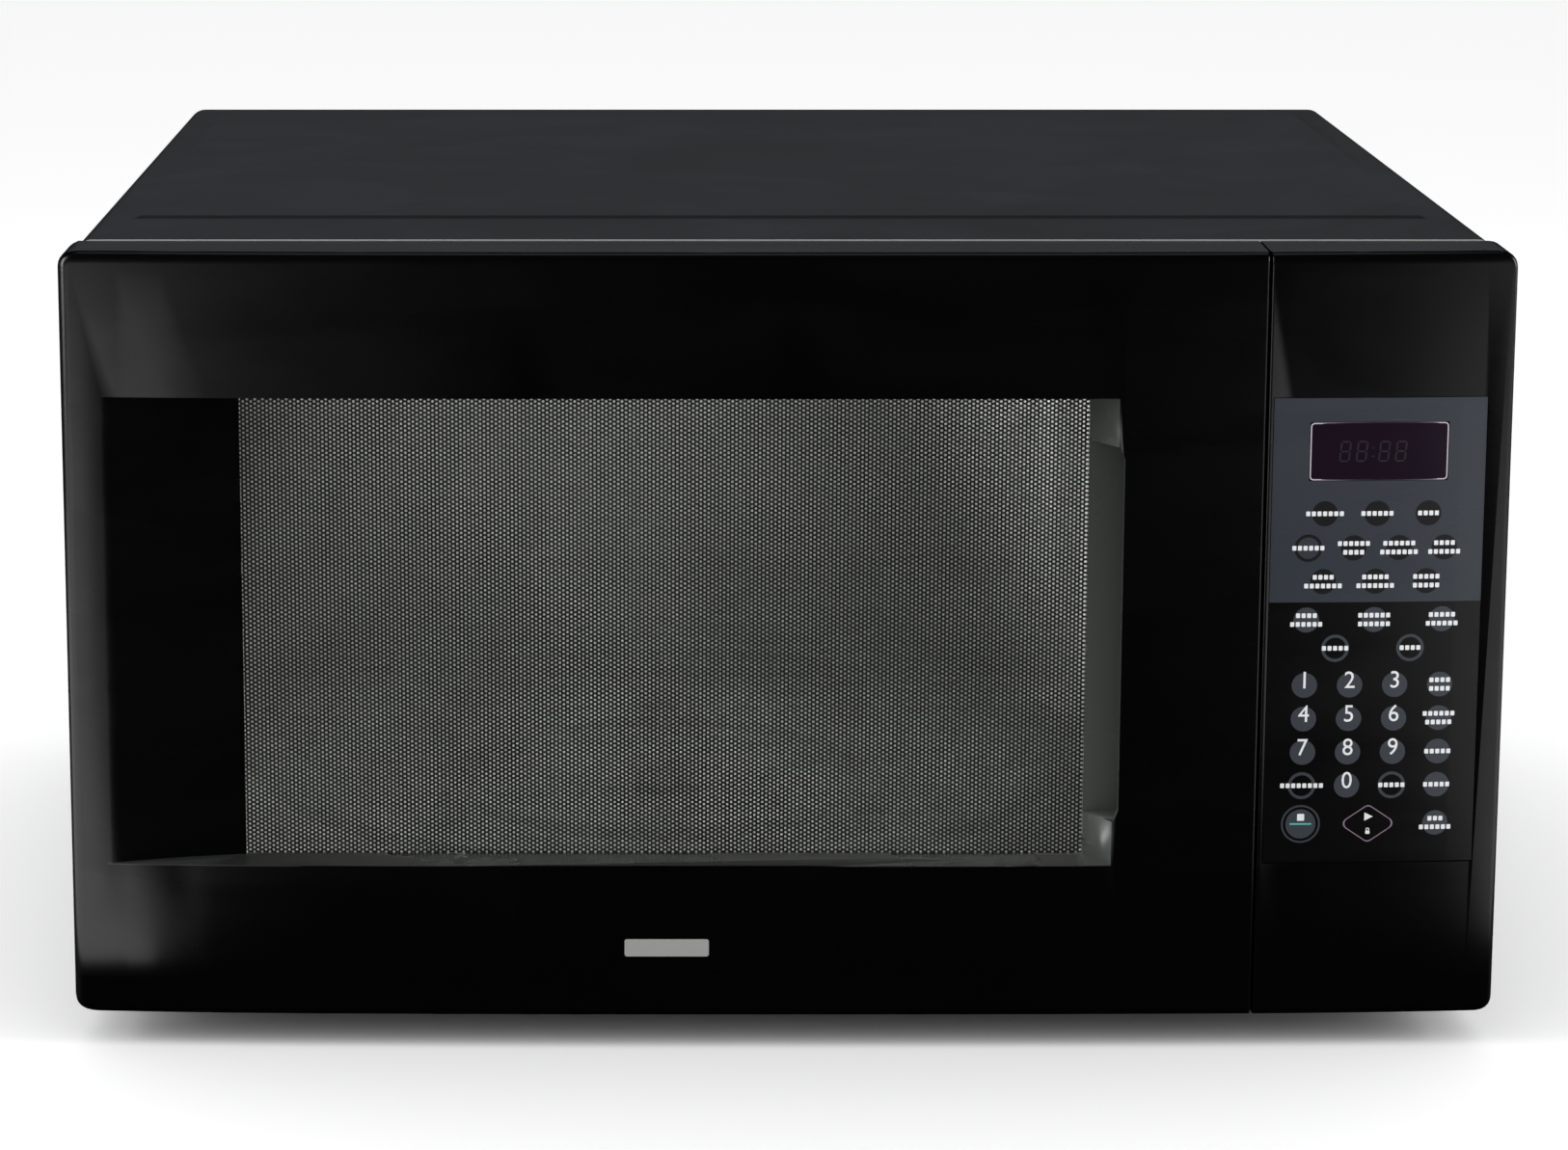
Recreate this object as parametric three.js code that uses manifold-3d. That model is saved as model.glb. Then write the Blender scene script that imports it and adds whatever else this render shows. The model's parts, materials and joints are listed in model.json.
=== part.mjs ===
// Countertop microwave oven, built as separate pieces. Millimetres, +Z up, the front faces -Y.
// The origin is on the surface it stands on, under the middle of its bounding box.

import * as THREE from 'three';
import { mergeVertices } from 'three/addons/utils/BufferGeometryUtils.js';
import Module from 'manifold-3d';

const wasm = await Module();
wasm.setup();

// Driving dimensions: overall size, then sheet gauges and running gaps.
const width = 606;
const depth = 500;
const footHeight = 15;
const gap = 0.3;
const sheet = 1;
const plasticWall = 2.6;

const halfWidth = width / 2;
const halfDepth = depth / 2;

// Front fascia, shared by the door and the control panel.
const fascia = {
  apexY: -halfDepth + 0.6,
  rearY: -214.5,
  bottom: 14.5,
  top: 344,
  seamDoor: 199.1,
  seamPanel: 200.3,
  bow: 2.5,
  rollOff: 3.5,
  edgeRadius: 3.5,
  cornerRadius: 7,
};

// Recess in the door that holds the window, and the finger pocket behind the handle column.
const recess = {
  left: -286, floorLeft: -229.5, floorRight: 127.8, right: 139, bottom: 81, top: 282.8, floorY: -231.8,
};
const pocket = { left: 125, right: 158, front: -244.2, rear: -231.8, bottom: 100.3, top: 262, lipCut: 2 };
const badge = { left: -67.7, right: -31.9, bottom: 41.4, top: 49, rear: -halfDepth + 1.2 };

// Hinge line at the door's rear left corner.
const hinge = { x: -297.5, y: -221.3, cornerRadius: 6.8, pinRadius: 2.5, boreRadius: 2.8, bossLength: 14 };
const tongueZ = { upper: 331, lower: 25, thickness: 2, clearance: 0.8 };

// Sheet-metal cabinet and oven cavity.
const cabinet = { x: 300, front: -214, rear: 243, bottom: 16.6, top: 344, radius: 8, wall: 0.9 };
const emboss = { x: 282, front: -151, rear: 222, rise: 1, slope: 3 };
const cavity = { left: -276.8, right: 173.2, bottom: 40, top: 310, front: -212.2, rear: 225 };
const frontPlateY = -213.5;
const rearPanelY = 240.5;
const gland = { x: 262, z: 46, radius: 8 };
const basePlateZ = footHeight + gap;

// Turntable: rollers roll on the cavity floor and carry the tray.
const turntable = { x: -51.8, y: 5, trayRadius: 202.5, rollerRadius: 8.35, rollerCircle: 113 };
const rollerZ = cavity.bottom + gap + turntable.rollerRadius;
const trayZ = rollerZ + turntable.rollerRadius + gap;

// Door latch: two hooks on one bar, and the switches behind them.
const latch = { x: 189, thickness: 3, upperZ: 247, lowerZ: 100, tipY: -194 };

// Control panel face.
const overlay = { left: 202.5, right: 292, bottom: 82.2, top: 282.9 };
const lens = { left: 218.1, right: 275.9, bottom: 247.9, top: 272.3 };

const model = new THREE.Group();

// ---------- materials ----------

const finishes = {
  fascia_plastic: [0x070708, 0.18, 0],
  panel_plastic: [0x070708, 0.18, 0],
  cabinet_paint: [0x17181a, 0.42, 0.2],
  zinc_steel: [0x9b9c98, 0.4, 0.9],
  cavity_enamel: [0xb9b9b4, 0.4, 0.1],
  mica: [0xb7a988, 0.7, 0],
  magnetron_metal: [0xa4a39c, 0.35, 0.9],
  core_steel: [0x55524d, 0.55, 0.8],
  copper_winding: [0x9a5a2c, 0.4, 0.7],
  aluminium_can: [0xb4b6b8, 0.3, 0.9],
  black_plastic: [0x18191b, 0.5, 0],
  grey_plastic: [0x6d7276, 0.5, 0],
  white_plastic: [0xd4d2ca, 0.5, 0],
  clear_glass: [0xdfe6e6, 0.05, 0],
  window_plastic: [0x9aa0a2, 0.05, 0],
  screen_metal: [0x131314, 0.45, 0.6],
  circuit_board: [0x1f5a37, 0.5, 0],
  overlay_film: [0x0b0c0e, 0.3, 0],
  display_plastic: [0x1a0e1c, 0.1, 0],
  badge_metal: [0xc3c4c2, 0.3, 0.9],
  rubber: [0x151515, 0.8, 0],
  spring_steel: [0x8d8f91, 0.3, 1],
};

function makeMaterial(name) {
  const [color, roughness, metalness] = finishes[name];
  const material = new THREE.MeshStandardMaterial({ color, roughness, metalness });
  material.name = name;
  return material;
}

// ---------- solids ----------

function toSolid(source) {
  const bare = new THREE.BufferGeometry();
  bare.setAttribute('position', source.getAttribute('position').clone());
  bare.setIndex(source.index ? source.index.clone() : null);
  const merged = mergeVertices(bare, 1e-4);
  const corners = merged.index.array;
  const places = new Float32Array(merged.getAttribute('position').array);
  const faces = [];
  for (let i = 0; i < corners.length; i += 3) {
    const [a, b, c] = [corners[i], corners[i + 1], corners[i + 2]];
    if (a !== b && b !== c && c !== a) faces.push(a, b, c);
  }
  const make = (list) => new wasm.Manifold(new wasm.Mesh({
    numProp: 3, vertProperties: places, triVerts: new Uint32Array(list),
  }));
  const solid = make(faces);
  if (solid.volume() > 0) return solid;
  return make(faces.reverse());
}

function toGeometry(solid) {
  const mesh = solid.getMesh();
  const geometry = new THREE.BufferGeometry();
  geometry.setAttribute('position', new THREE.BufferAttribute(new Float32Array(mesh.vertProperties), 3));
  geometry.setIndex(new THREE.BufferAttribute(new Uint32Array(mesh.triVerts), 1));
  geometry.computeVertexNormals();
  return geometry;
}

function addPart(name, solid, finish) {
  const mesh = new THREE.Mesh(toGeometry(solid), makeMaterial(finish));
  mesh.name = name;
  model.add(mesh);
}

function join(...solids) {
  return solids.reduce((whole, piece) => whole.add(piece));
}

function cut(whole, ...pieces) {
  return pieces.reduce((rest, piece) => rest.subtract(piece), whole);
}

function box(x0, x1, y0, y1, z0, z1) {
  const geometry = new THREE.BoxGeometry(x1 - x0, y1 - y0, z1 - z0);
  geometry.translate((x0 + x1) / 2, (y0 + y1) / 2, (z0 + z1) / 2);
  return toSolid(geometry);
}

// Outline points extruded along one axis. The outline lies in (x, y), (x, z) or (y, z).
function prism(points, axis, start, end) {
  const shape = new THREE.Shape(points.map(([u, v]) => new THREE.Vector2(u, v)));
  const geometry = new THREE.ExtrudeGeometry(shape, { depth: end - start, bevelEnabled: false });
  if (axis === 'z') geometry.translate(0, 0, start);
  if (axis === 'y') geometry.rotateX(Math.PI / 2).translate(0, end, 0);
  if (axis === 'x') {
    const turn = new THREE.Matrix4().set(0, 0, 1, start, 1, 0, 0, 0, 0, 1, 0, 0, 0, 0, 0, 1);
    geometry.applyMatrix4(turn);
  }
  return toSolid(geometry);
}

function roundedOutline(u0, u1, v0, v1, radius, steps = 4) {
  const corners = [[u1 - radius, v0 + radius, -90], [u1 - radius, v1 - radius, 0],
    [u0 + radius, v1 - radius, 90], [u0 + radius, v0 + radius, 180]];
  return corners.flatMap(([u, v, from]) => arc(u, v, radius, from, from + 90, steps));
}

function arc(u, v, radius, fromDegrees, toDegrees, steps) {
  return Array.from({ length: steps + 1 }, (_, i) => {
    const angle = THREE.MathUtils.degToRad(fromDegrees + (toDegrees - fromDegrees) * i / steps);
    return [u + radius * Math.cos(angle), v + radius * Math.sin(angle)];
  });
}

// Round bar along an axis: centre is its middle.
function rod(radius, length, axis, centre, segments = 24, endRadius = radius) {
  const geometry = new THREE.CylinderGeometry(endRadius, radius, length, segments);
  if (axis === 'z') geometry.rotateX(Math.PI / 2);
  if (axis === 'x') geometry.rotateZ(-Math.PI / 2);
  geometry.translate(...centre);
  return toSolid(geometry);
}

// Profile of [radius, height] points turned about a vertical axis through (x, y).
function turned(profile, x, y, segments) {
  const geometry = new THREE.LatheGeometry(profile.map(([r, z]) => new THREE.Vector2(r, z)), segments);
  geometry.rotateX(Math.PI / 2).translate(x, y, 0);
  return toSolid(geometry);
}

// Solid through a stack of rings that all have the same number of points.
function loft(rings) {
  const count = rings[0].points.length;
  const positions = rings.flatMap(({ points, z }) => points.flatMap(([x, y]) => [x, y, z]));
  const indices = [];
  for (let level = 0; level < rings.length - 1; level += 1) {
    for (let i = 0; i < count; i += 1) {
      const a = level * count + i;
      const b = level * count + (i + 1) % count;
      indices.push(a, b, b + count, a, b + count, a + count);
    }
  }
  const flat = rings.map(({ points }) => points.map(([x, y]) => new THREE.Vector2(x, y)));
  const last = (rings.length - 1) * count;
  for (const [a, b, c] of THREE.ShapeUtils.triangulateShape(flat[0], [])) indices.push(c, b, a);
  for (const [a, b, c] of THREE.ShapeUtils.triangulateShape(flat.at(-1), [])) {
    indices.push(last + a, last + b, last + c);
  }
  const geometry = new THREE.BufferGeometry();
  geometry.setAttribute('position', new THREE.Float32BufferAttribute(positions, 3));
  geometry.setIndex(indices);
  return toSolid(geometry);
}

// Row of equal cutters, each made by a function of its place in the row.
function row(count, make) {
  return join(...Array.from({ length: count }, (_, i) => make(i)));
}

// ---------- fascia ----------

// The front is almost flat and rolls back near both ends.
function frontY(x) {
  const share = Math.abs(x) / halfWidth;
  return fascia.apexY + fascia.bow * share ** 2 + fascia.rollOff * share ** 6;
}

function frontCurve(x0, x1, steps, inset) {
  return Array.from({ length: steps + 1 }, (_, i) => {
    const x = x0 + (x1 - x0) * i / steps;
    return [x, frontY(x) + inset];
  });
}

// Top view of a fascia block, with rounded front corners and, on the door, a round hinge corner.
function fasciaOutline({ x0, x1, leftRadius, rightRadius, steps, hinged }, frontInset, leftInset, rightInset) {
  const left = x0 + leftInset;
  const right = x1 - rightInset;
  const leftArc = arc(left + leftRadius, frontY(left + leftRadius) + frontInset + leftRadius,
    leftRadius, 180, 270, 4);
  const rightArc = arc(right - rightRadius, frontY(right - rightRadius) + frontInset + rightRadius,
    rightRadius, 270, 360, 4);
  const front = frontCurve(left + leftRadius, right - rightRadius, steps, frontInset).slice(1, -1);
  const rear = hinged ? hingeCorner(left) : [[left, fascia.rearY]];
  return [...leftArc, ...front, ...rightArc, [right, fascia.rearY], ...rear];
}

function hingeCorner(left) {
  const rise = Math.sqrt(hinge.cornerRadius ** 2 - (left - hinge.x) ** 2) || 0;
  const end = THREE.MathUtils.radToDeg(Math.atan2(rise, Math.min(left - hinge.x, 0)));
  return arc(hinge.x, hinge.y, hinge.cornerRadius, 90, Math.max(end, 91), 5);
}

function roundInset(distance, radius) {
  if (distance >= radius) return 0;
  return radius - Math.sqrt(radius ** 2 - (radius - distance) ** 2);
}

function fasciaBlock(shape) {
  const levels = [0, 0.3, 1, 2, 3.5, 5, fascia.cornerRadius];
  const ring = (distance, z) => {
    const side = roundInset(distance, fascia.cornerRadius);
    const front = roundInset(distance, fascia.edgeRadius);
    const points = fasciaOutline(shape, front, shape.hinged ? side : 0, shape.hinged ? 0 : side);
    return { points, z };
  };
  const lower = levels.map((d) => ring(d, fascia.bottom + d));
  const upper = levels.map((d) => ring(d, fascia.top - d)).reverse();
  return loft([...lower, ...upper]);
}

function fasciaHollow(x0, x1, steps) {
  const rear = fascia.rearY + 2;
  const points = [...frontCurve(x0 + plasticWall, x1 - plasticWall, steps, plasticWall),
    [x1 - plasticWall, rear], [x0 + plasticWall, rear]];
  return prism(points, 'z', fascia.bottom + plasticWall, fascia.top - plasticWall);
}

// ---------- door ----------

// Top view of the window recess. The left side is a shallow scoop, the right side is a steep wall.
function recessOutline(grow) {
  const start = frontY(recess.left);
  const scoop = Array.from({ length: 13 }, (_, i) => {
    const share = i / 12;
    const eased = share + 0.08 * Math.sin(Math.PI * share);
    const x = THREE.MathUtils.lerp(recess.left, recess.floorLeft, share) - grow * 0.4;
    return [x, THREE.MathUtils.lerp(start, recess.floorY, eased) + grow];
  });
  const floor = grow ? recess.floorY + grow : recess.floorY + 4;
  const right = recess.floorRight + grow * 1.15;
  const rightFront = recess.right + grow * 1.15;
  return [[recess.left - grow * 0.4, -260], [rightFront, -260], [rightFront, frontY(recess.right) + grow * 0.3],
    [right, recess.floorY + grow], [right, floor + 0.001],
    [recess.floorLeft - grow * 0.4, floor + 0.001], ...scoop.reverse()];
}

function hingeBoss(z0, z1) {
  return rod(hinge.cornerRadius, z1 - z0, 'z', [hinge.x, hinge.y, (z0 + z1) / 2], 24);
}

function buildDoorFrame() {
  const shape = { x0: -halfWidth, x1: fascia.seamDoor, leftRadius: 5, rightRadius: 0.8, steps: 26, hinged: true };
  const grown = prism(recessOutline(plasticWall), 'z', recess.bottom - plasticWall, recess.top + plasticWall);
  const pocketLiner = box(pocket.left, pocket.right + 2.2, pocket.front - 2.2, pocket.rear + 2.2,
    pocket.bottom - 2.2, pocket.top + 2.2);
  const upperTop = tongueZ.upper - tongueZ.clearance;
  const lowerBottom = tongueZ.lower + tongueZ.thickness + tongueZ.clearance;
  const hollow = cut(fasciaHollow(shape.x0, shape.x1, 20), grown, pocketLiner,
    hingeBoss(upperTop - hinge.bossLength, upperTop), hingeBoss(lowerBottom, lowerBottom + hinge.bossLength));
  const lip = prism([[recess.right - 15, pocket.bottom], [recess.right, pocket.bottom],
    [recess.right + pocket.lipCut, pocket.bottom + 5], [recess.right + pocket.lipCut, pocket.top - 5],
    [recess.right, pocket.top], [recess.right - 15, pocket.top]], 'y', -260, pocket.front + 1);
  const notch = (z) => box(-halfWidth - 1, -289.5, -226.2, fascia.rearY + 1,
    z - tongueZ.clearance, z + tongueZ.thickness + tongueZ.clearance);
  const bore = (z) => rod(hinge.boreRadius, 13, 'z', [hinge.x, hinge.y, z], 16);
  addPart('door_frame', cut(fasciaBlock(shape), hollow,
    prism(recessOutline(0), 'z', recess.bottom, recess.top),
    box(pocket.left, pocket.right, pocket.front, pocket.rear, pocket.bottom, pocket.top), lip,
    notch(tongueZ.upper), notch(tongueZ.lower),
    bore(upperTop - 5), bore(lowerBottom + 5),
    box(badge.left - gap, badge.right + gap, -260, badge.rear + gap, badge.bottom - gap, badge.top + gap)),
  'fascia_plastic');
}


function buildBadge() {
  addPart('badge', prism(roundedOutline(badge.left, badge.right, badge.bottom, badge.top, 1, 3), 'y',
    -halfDepth, badge.rear), 'badge_metal');
}

// Ring of rectangular section round an opening, lying in the door's plane.
function frameRing(outer, inner, y0, y1) {
  return cut(box(outer.left, outer.right, y0, y1, outer.bottom, outer.top),
    box(inner.left, inner.right, y0 - 1, y1 + 1, inner.bottom, inner.top));
}

const choke = { left: -289, right: 184, bottom: 30, top: 320, front: -228, rear: -217.5 };
const chokeInner = { left: -241, right: 139, bottom: 71, top: 296 };

function shrink({ left, right, bottom, top }, by) {
  return { left: left + by, right: right - by, bottom: bottom + by, top: top - by };
}

function buildDoorInside() {
  const paneHole = { left: recess.floorLeft, right: recess.floorRight, bottom: recess.bottom, top: recess.top };
  const pane = shrink(paneHole, gap);
  addPart('door_window', prism(roundedOutline(pane.left, pane.right, pane.bottom, pane.top, 4), 'y',
    recess.floorY, recess.floorY + 2.3), 'window_plastic');
  addPart('door_screen', box(-243, 141, recess.floorY + 2.9, recess.floorY + 3.5, 69, 298), 'screen_metal');
  const channel = frameRing(shrink(choke, sheet), shrink(chokeInner, -sheet), choke.front + sheet, choke.rear + 1);
  addPart('door_choke_frame', cut(frameRing(choke, chokeInner, choke.front, choke.rear), channel), 'zinc_steel');
  const inside = shrink(chokeInner, 0.4);
  addPart('inner_window', box(inside.left, inside.right, choke.front + 0.4, choke.front + 1.4,
    inside.bottom, inside.top), 'clear_glass');
  const coverOuter = shrink(choke, -1);
  const coverInner = { left: -236, right: 134, bottom: 76, top: 291 };
  addPart('choke_cover', frameRing(coverOuter, coverInner, choke.rear + 0.6, fascia.rearY - gap), 'black_plastic');
}

function buildLatch() {
  const x0 = latch.x - latch.thickness / 2;
  const x1 = latch.x + latch.thickness / 2;
  const bar = box(x0, x1, -242, -232, 92, 261);
  const hook = (z) => prism([[-234, z - 5], [latch.tipY - 9, z - 5], [latch.tipY - 8, z - 9], [latch.tipY - 3, z - 9],
    [latch.tipY, z - 3], [latch.tipY, z + 1], [latch.tipY - 5, z + 5], [-234, z + 5]], 'x', x0, x1);
  addPart('latch_hooks', join(bar, hook(latch.upperZ), hook(latch.lowerZ)), 'white_plastic');
  const spring = { radius: 4, wire: 0.5, turns: 5, bottom: 72, top: 91 };
  const points = Array.from({ length: spring.turns * 10 + 1 }, (_, i) => {
    const angle = i / 10 * 2 * Math.PI;
    const z = THREE.MathUtils.lerp(spring.bottom, spring.top, i / (spring.turns * 10));
    return new THREE.Vector3(latch.x + spring.radius * Math.cos(angle), -237 + spring.radius * Math.sin(angle), z);
  });
  const section = new THREE.Shape(arc(0, 0, spring.wire, 0, 300, 5).map(([u, v]) => new THREE.Vector2(u, v)));
  const path = new THREE.CatmullRomCurve3(points);
  const sweep = { extrudePath: path, steps: spring.turns * 12, bevelEnabled: false };
  const coil = new THREE.ExtrudeGeometry(section, sweep);
  addPart('latch_spring', toSolid(coil), 'spring_steel');
}

function buildHinges() {
  const bracket = (z, pinDown) => {
    const tongue = prism([[-298.2, -211], [-291, -211], [-291, -224.3], [-300, -224.3], [-300, -215], [-298.2, -215]],
      'z', z, z + tongueZ.thickness);
    const backPlate = box(-298.2, -280, -212.2, -210.8, pinDown ? z - 14 : z - 6, pinDown ? z + 8 : z + 16);
    const pinMiddle = pinDown ? z - 5 : z + tongueZ.thickness + 5;
    return join(tongue, backPlate, rod(hinge.pinRadius, 10.2, 'z', [hinge.x, hinge.y, pinMiddle], 16));
  };
  addPart('upper_hinge', bracket(tongueZ.upper, true), 'zinc_steel');
  addPart('lower_hinge', bracket(tongueZ.lower, false), 'zinc_steel');
}

// ---------- control panel ----------

// Strip that follows the fascia's curve at a given depth below it.
function facingStrip(area, frontInset, rearInset) {
  const front = frontCurve(area.left, area.right, 8, frontInset);
  const rear = frontCurve(area.left, area.right, 8, rearInset).reverse();
  return prism([...front, ...rear], 'z', area.bottom, area.top);
}

function buildControlPanel() {
  const shape = { x0: fascia.seamPanel, x1: halfWidth, leftRadius: 0.8, rightRadius: 2.5, steps: 10, hinged: false };
  const seat = facingStrip(shrink(overlay, -gap), -3, 1.3);
  const opening = shrink(lens, -1);
  addPart('control_panel_frame', cut(fasciaBlock(shape), fasciaHollow(shape.x0, shape.x1, 8), seat,
    facingStrip(opening, -3, 6)), 'panel_plastic');
  addPart('keypad_overlay', cut(facingStrip(overlay, gap, 1), facingStrip(shrink(lens, -gap), -3, 6)), 'overlay_film');
  addPart('display_lens', facingStrip(lens, gap, 2.4), 'display_plastic');
  buildControlElectronics();
}

function buildControlElectronics() {
  const boardY = -224;
  const board = box(206, 296, boardY, boardY + 1.6, 52, 312);
  const relays = row(2, (i) => box(222 + i * 28, 244 + i * 28, boardY + 1.5, boardY + 20, 140, 170));
  const connectors = row(3, (i) => box(222 + i * 22, 238 + i * 22, boardY + 1.5, boardY + 12, 200, 210));
  const buzzer = rod(8, 9, 'y', [240, boardY + 6, 260], 20);
  addPart('control_board', join(board, relays, connectors, buzzer), 'circuit_board');
  addPart('display_module', join(box(216, 278, boardY - 15, boardY - gap, 247, 275),
    box(220, 274, boardY - 16, boardY - 14.9, 251, 271)), 'black_plastic');
  addPart('control_transformer', join(box(244, 286, boardY + 2, boardY + 26, 66, 112),
    box(252, 278, boardY + 1.9, boardY + 34, 74, 104)), 'core_steel');
}

// ---------- cabinet ----------

function buildCabinet() {
  const { x, bottom, top, radius, wall } = cabinet;
  const outer = [[-x, bottom], [x, bottom], ...arc(x - radius, top - radius, radius, 0, 90, 6),
    ...arc(radius - x, top - radius, radius, 90, 180, 6)];
  const innerX = x - wall;
  const innerR = radius - wall;
  const inner = [[-innerX, bottom - 1], [innerX, bottom - 1], ...arc(innerX - innerR, top - radius, innerR, 0, 90, 6),
    ...arc(innerR - innerX, top - radius, innerR, 90, 180, 6)];
  const wrap = cut(prism(outer, 'y', cabinet.front, cabinet.rear),
    prism(inner, 'y', cabinet.front - 1, cabinet.rear + 1));
  const plan = (inset) => [[inset - emboss.x, emboss.front + inset], [emboss.x - inset, emboss.front + inset],
    [emboss.x - inset, emboss.rear - inset], [inset - emboss.x, emboss.rear - inset]];
  const raised = loft([{ points: plan(0), z: top - 0.5 }, { points: plan(0), z: top },
    { points: plan(emboss.slope), z: top + emboss.rise }]);
  const under = loft([{ points: plan(0.1), z: top - 5 }, { points: plan(0.1), z: top - wall },
    { points: plan(emboss.slope + 0.1), z: top + emboss.rise - wall }]);
  const sideVents = [-1, 1].map((side) => row(2, (tier) => row(14, (i) => {
    const y = 70 + i * 9;
    const z = side < 0 ? 222 + tier * 34 : 60 + tier * 34;
    return box(Math.min(side * 298, side * 302), Math.max(side * 298, side * 302), y, y + 3.2, z, z + 26);
  })));
  addPart('outer_cabinet', cut(join(wrap, raised), under, ...sideVents), 'cabinet_paint');

  const baseTop = basePlateZ + sheet;
  const flangeTop = basePlateZ + 11;
  const base = prism([[-298, basePlateZ], [298, basePlateZ], [298, flangeTop], [297, flangeTop], [297, baseTop],
    [-297, baseTop], [-297, flangeTop], [-298, flangeTop]], 'y', -210, 240);
  const baseSlots = row(10, (i) => box(200 + i * 8, 203 + i * 8, -150, -100, 10, 20));
  addPart('base_plate', cut(base, baseSlots), 'zinc_steel');

  buildRearPanel();
  buildFrontPlate();
  const footPlaces = [[-255, -185], [255, -185], [-255, 205], [255, 205]];
  footPlaces.forEach(([footX, footY], i) => {
    addPart(`foot_${i + 1}`, turned([[0, 0], [13, 0], [14, 1.2], [15.5, footHeight], [0, footHeight]],
      footX, footY, 24), 'rubber');
  });
}

// Plate that closes an end of the cabinet: square below, round at the top corners.
function endPlateOutline(x, bottom, top) {
  const { radius } = cabinet;
  return [[-x, bottom], [x, bottom], ...arc(x - radius, top - radius, radius, 0, 90, 6),
    ...arc(radius - x, top - radius, radius, 90, 180, 6)];
}

function buildRearPanel() {
  const panel = prism(endPlateOutline(298.6, 17, 342.6), 'y', rearPanelY, rearPanelY + sheet);
  const spacer = (x, z) => rod(10, halfDepth - rearPanelY - 0.5, 'y',
    [x, (rearPanelY + 0.5 + halfDepth) / 2, z], 20, 7);
  const spacers = [spacer(-240, 294), spacer(120, 294), spacer(-240, 70), spacer(120, 70)];
  const fanVents = row(11, (i) => box(194, 282, rearPanelY - 1, rearPanelY + 3, 196 + i * 8, 199.4 + i * 8));
  const exhaust = row(9, (i) => box(-200 + i * 8, -196.6 + i * 8, rearPanelY - 1, rearPanelY + 3, 236, 268));
  const glandHole = rod(gland.radius + 0.4, 8, 'y', [gland.x, rearPanelY, gland.z], 24);
  addPart('rear_panel', cut(join(panel, ...spacers), fanVents, exhaust, glandHole), 'cabinet_paint');
  addPart('cord_gland', cut(join(rod(gland.radius, 9, 'y', [gland.x, rearPanelY + 0.5, gland.z], 24),
    rod(gland.radius + 3, 2.2, 'y', [gland.x, rearPanelY + sheet + gap + 1.1, gland.z], 24)),
  rod(3.8, 20, 'y', [gland.x, rearPanelY, gland.z], 16)), 'black_plastic');
}


function buildFrontPlate() {
  const plate = prism(endPlateOutline(298.5, 17, 342.5), 'y', frontPlateY, frontPlateY + sheet);
  const y0 = frontPlateY - 1;
  const y1 = frontPlateY + sheet + 1;
  const mouth = box(cavity.left, cavity.right, y0, y1, cavity.bottom, cavity.top);
  const controls = box(205, 297, y0, y1, 51, 313);
  const hookSlot = (z) => box(184.8, 194.2, y0, y1, z - 11, z + 11);
  const tongueSlot = (z) => box(-299, -290.5, y0, y1, z - 0.5, z + tongueZ.thickness + 0.5);
  addPart('front_plate', cut(plate, mouth, controls, hookSlot(latch.upperZ), hookSlot(latch.lowerZ),
    tongueSlot(tongueZ.upper), tongueSlot(tongueZ.lower)), 'zinc_steel');
}

// ---------- oven cavity and turntable ----------

const waveguideBox = { y0: -15, y1: 85, z0: 205, z1: 275, x0: 174.5, x1: 206 };
const antenna = { y: 60, z: 240 };
const lamp = { y: -90, z: 276 };

function buildCavity() {
  const { left, right, bottom, top, front, rear } = cavity;
  const shell = cut(box(left - sheet, right + sheet, front, rear + sheet, bottom - sheet, top + sheet),
    box(left, right, front - 1, rear, bottom, top));
  const antennaMouth = box(right - 1, right + 2, 5, 65, 215, 265);
  const lampHole = rod(9, 6, 'x', [right, lamp.y, lamp.z], 20);
  const shaftHole = rod(8, 6, 'z', [turntable.x, turntable.y, bottom], 20);
  const intake = row(5, (i) => box(right - 1, right + 2, -150 + i * 7, -147 + i * 7, 244, 270));
  const outlet = row(7, (i) => box(-210 + i * 9, -206 + i * 9, rear - 1, rear + 2, 240, 262));
  addPart('cavity', cut(shell, antennaMouth, lampHole, shaftHole, intake, outlet), 'cavity_enamel');
  addPart('waveguide_cover', box(right - 1.4, right - 0.4, -2, 72, 208, 272), 'mica');

  const g = waveguideBox;
  const channel = cut(box(g.x0, g.x1, g.y0, g.y1, g.z0, g.z1),
    box(g.x0 - 1, g.x1 - 1.2, g.y0 + 1.2, g.y1 - 1.2, g.z0 + 1.2, g.z1 - 1.2),
    rod(12, 10, 'x', [g.x1, antenna.y, antenna.z], 24));
  addPart('waveguide', channel, 'zinc_steel');
  addPart('lamp_socket', join(rod(9, 20, 'x', [212, lamp.y, lamp.z], 20), box(214, 218, lamp.y - 12, lamp.y + 12,
    lamp.z - 14, lamp.z + 14)), 'white_plastic');
  addPart('lamp_bulb', join(turnedAlongX([[0, 0], [5, 0.8], [8, 4], [8.6, 9], [7, 15], [4.5, 20], [4.5, 23], [0, 23]],
    178, lamp.y, lamp.z, 20)), 'clear_glass');
  addPart('thermal_cutout', join(rod(8, 4, 'x', [176.7, -166, 286], 20), box(178.5, 186, -169, -163, 280, 292)),
    'black_plastic');
  addPart('humidity_sensor', join(box(-200, -160, 226.5, 232, 280, 298), rod(5, 5, 'y', [-180, 234, 289], 16)),
    'white_plastic');
}

function turnedAlongX(profile, x, y, z, segments) {
  const geometry = new THREE.LatheGeometry(profile.map(([r, h]) => new THREE.Vector2(r, h)), segments);
  geometry.rotateZ(-Math.PI / 2).translate(x, y, z);
  return toSolid(geometry);
}

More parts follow.
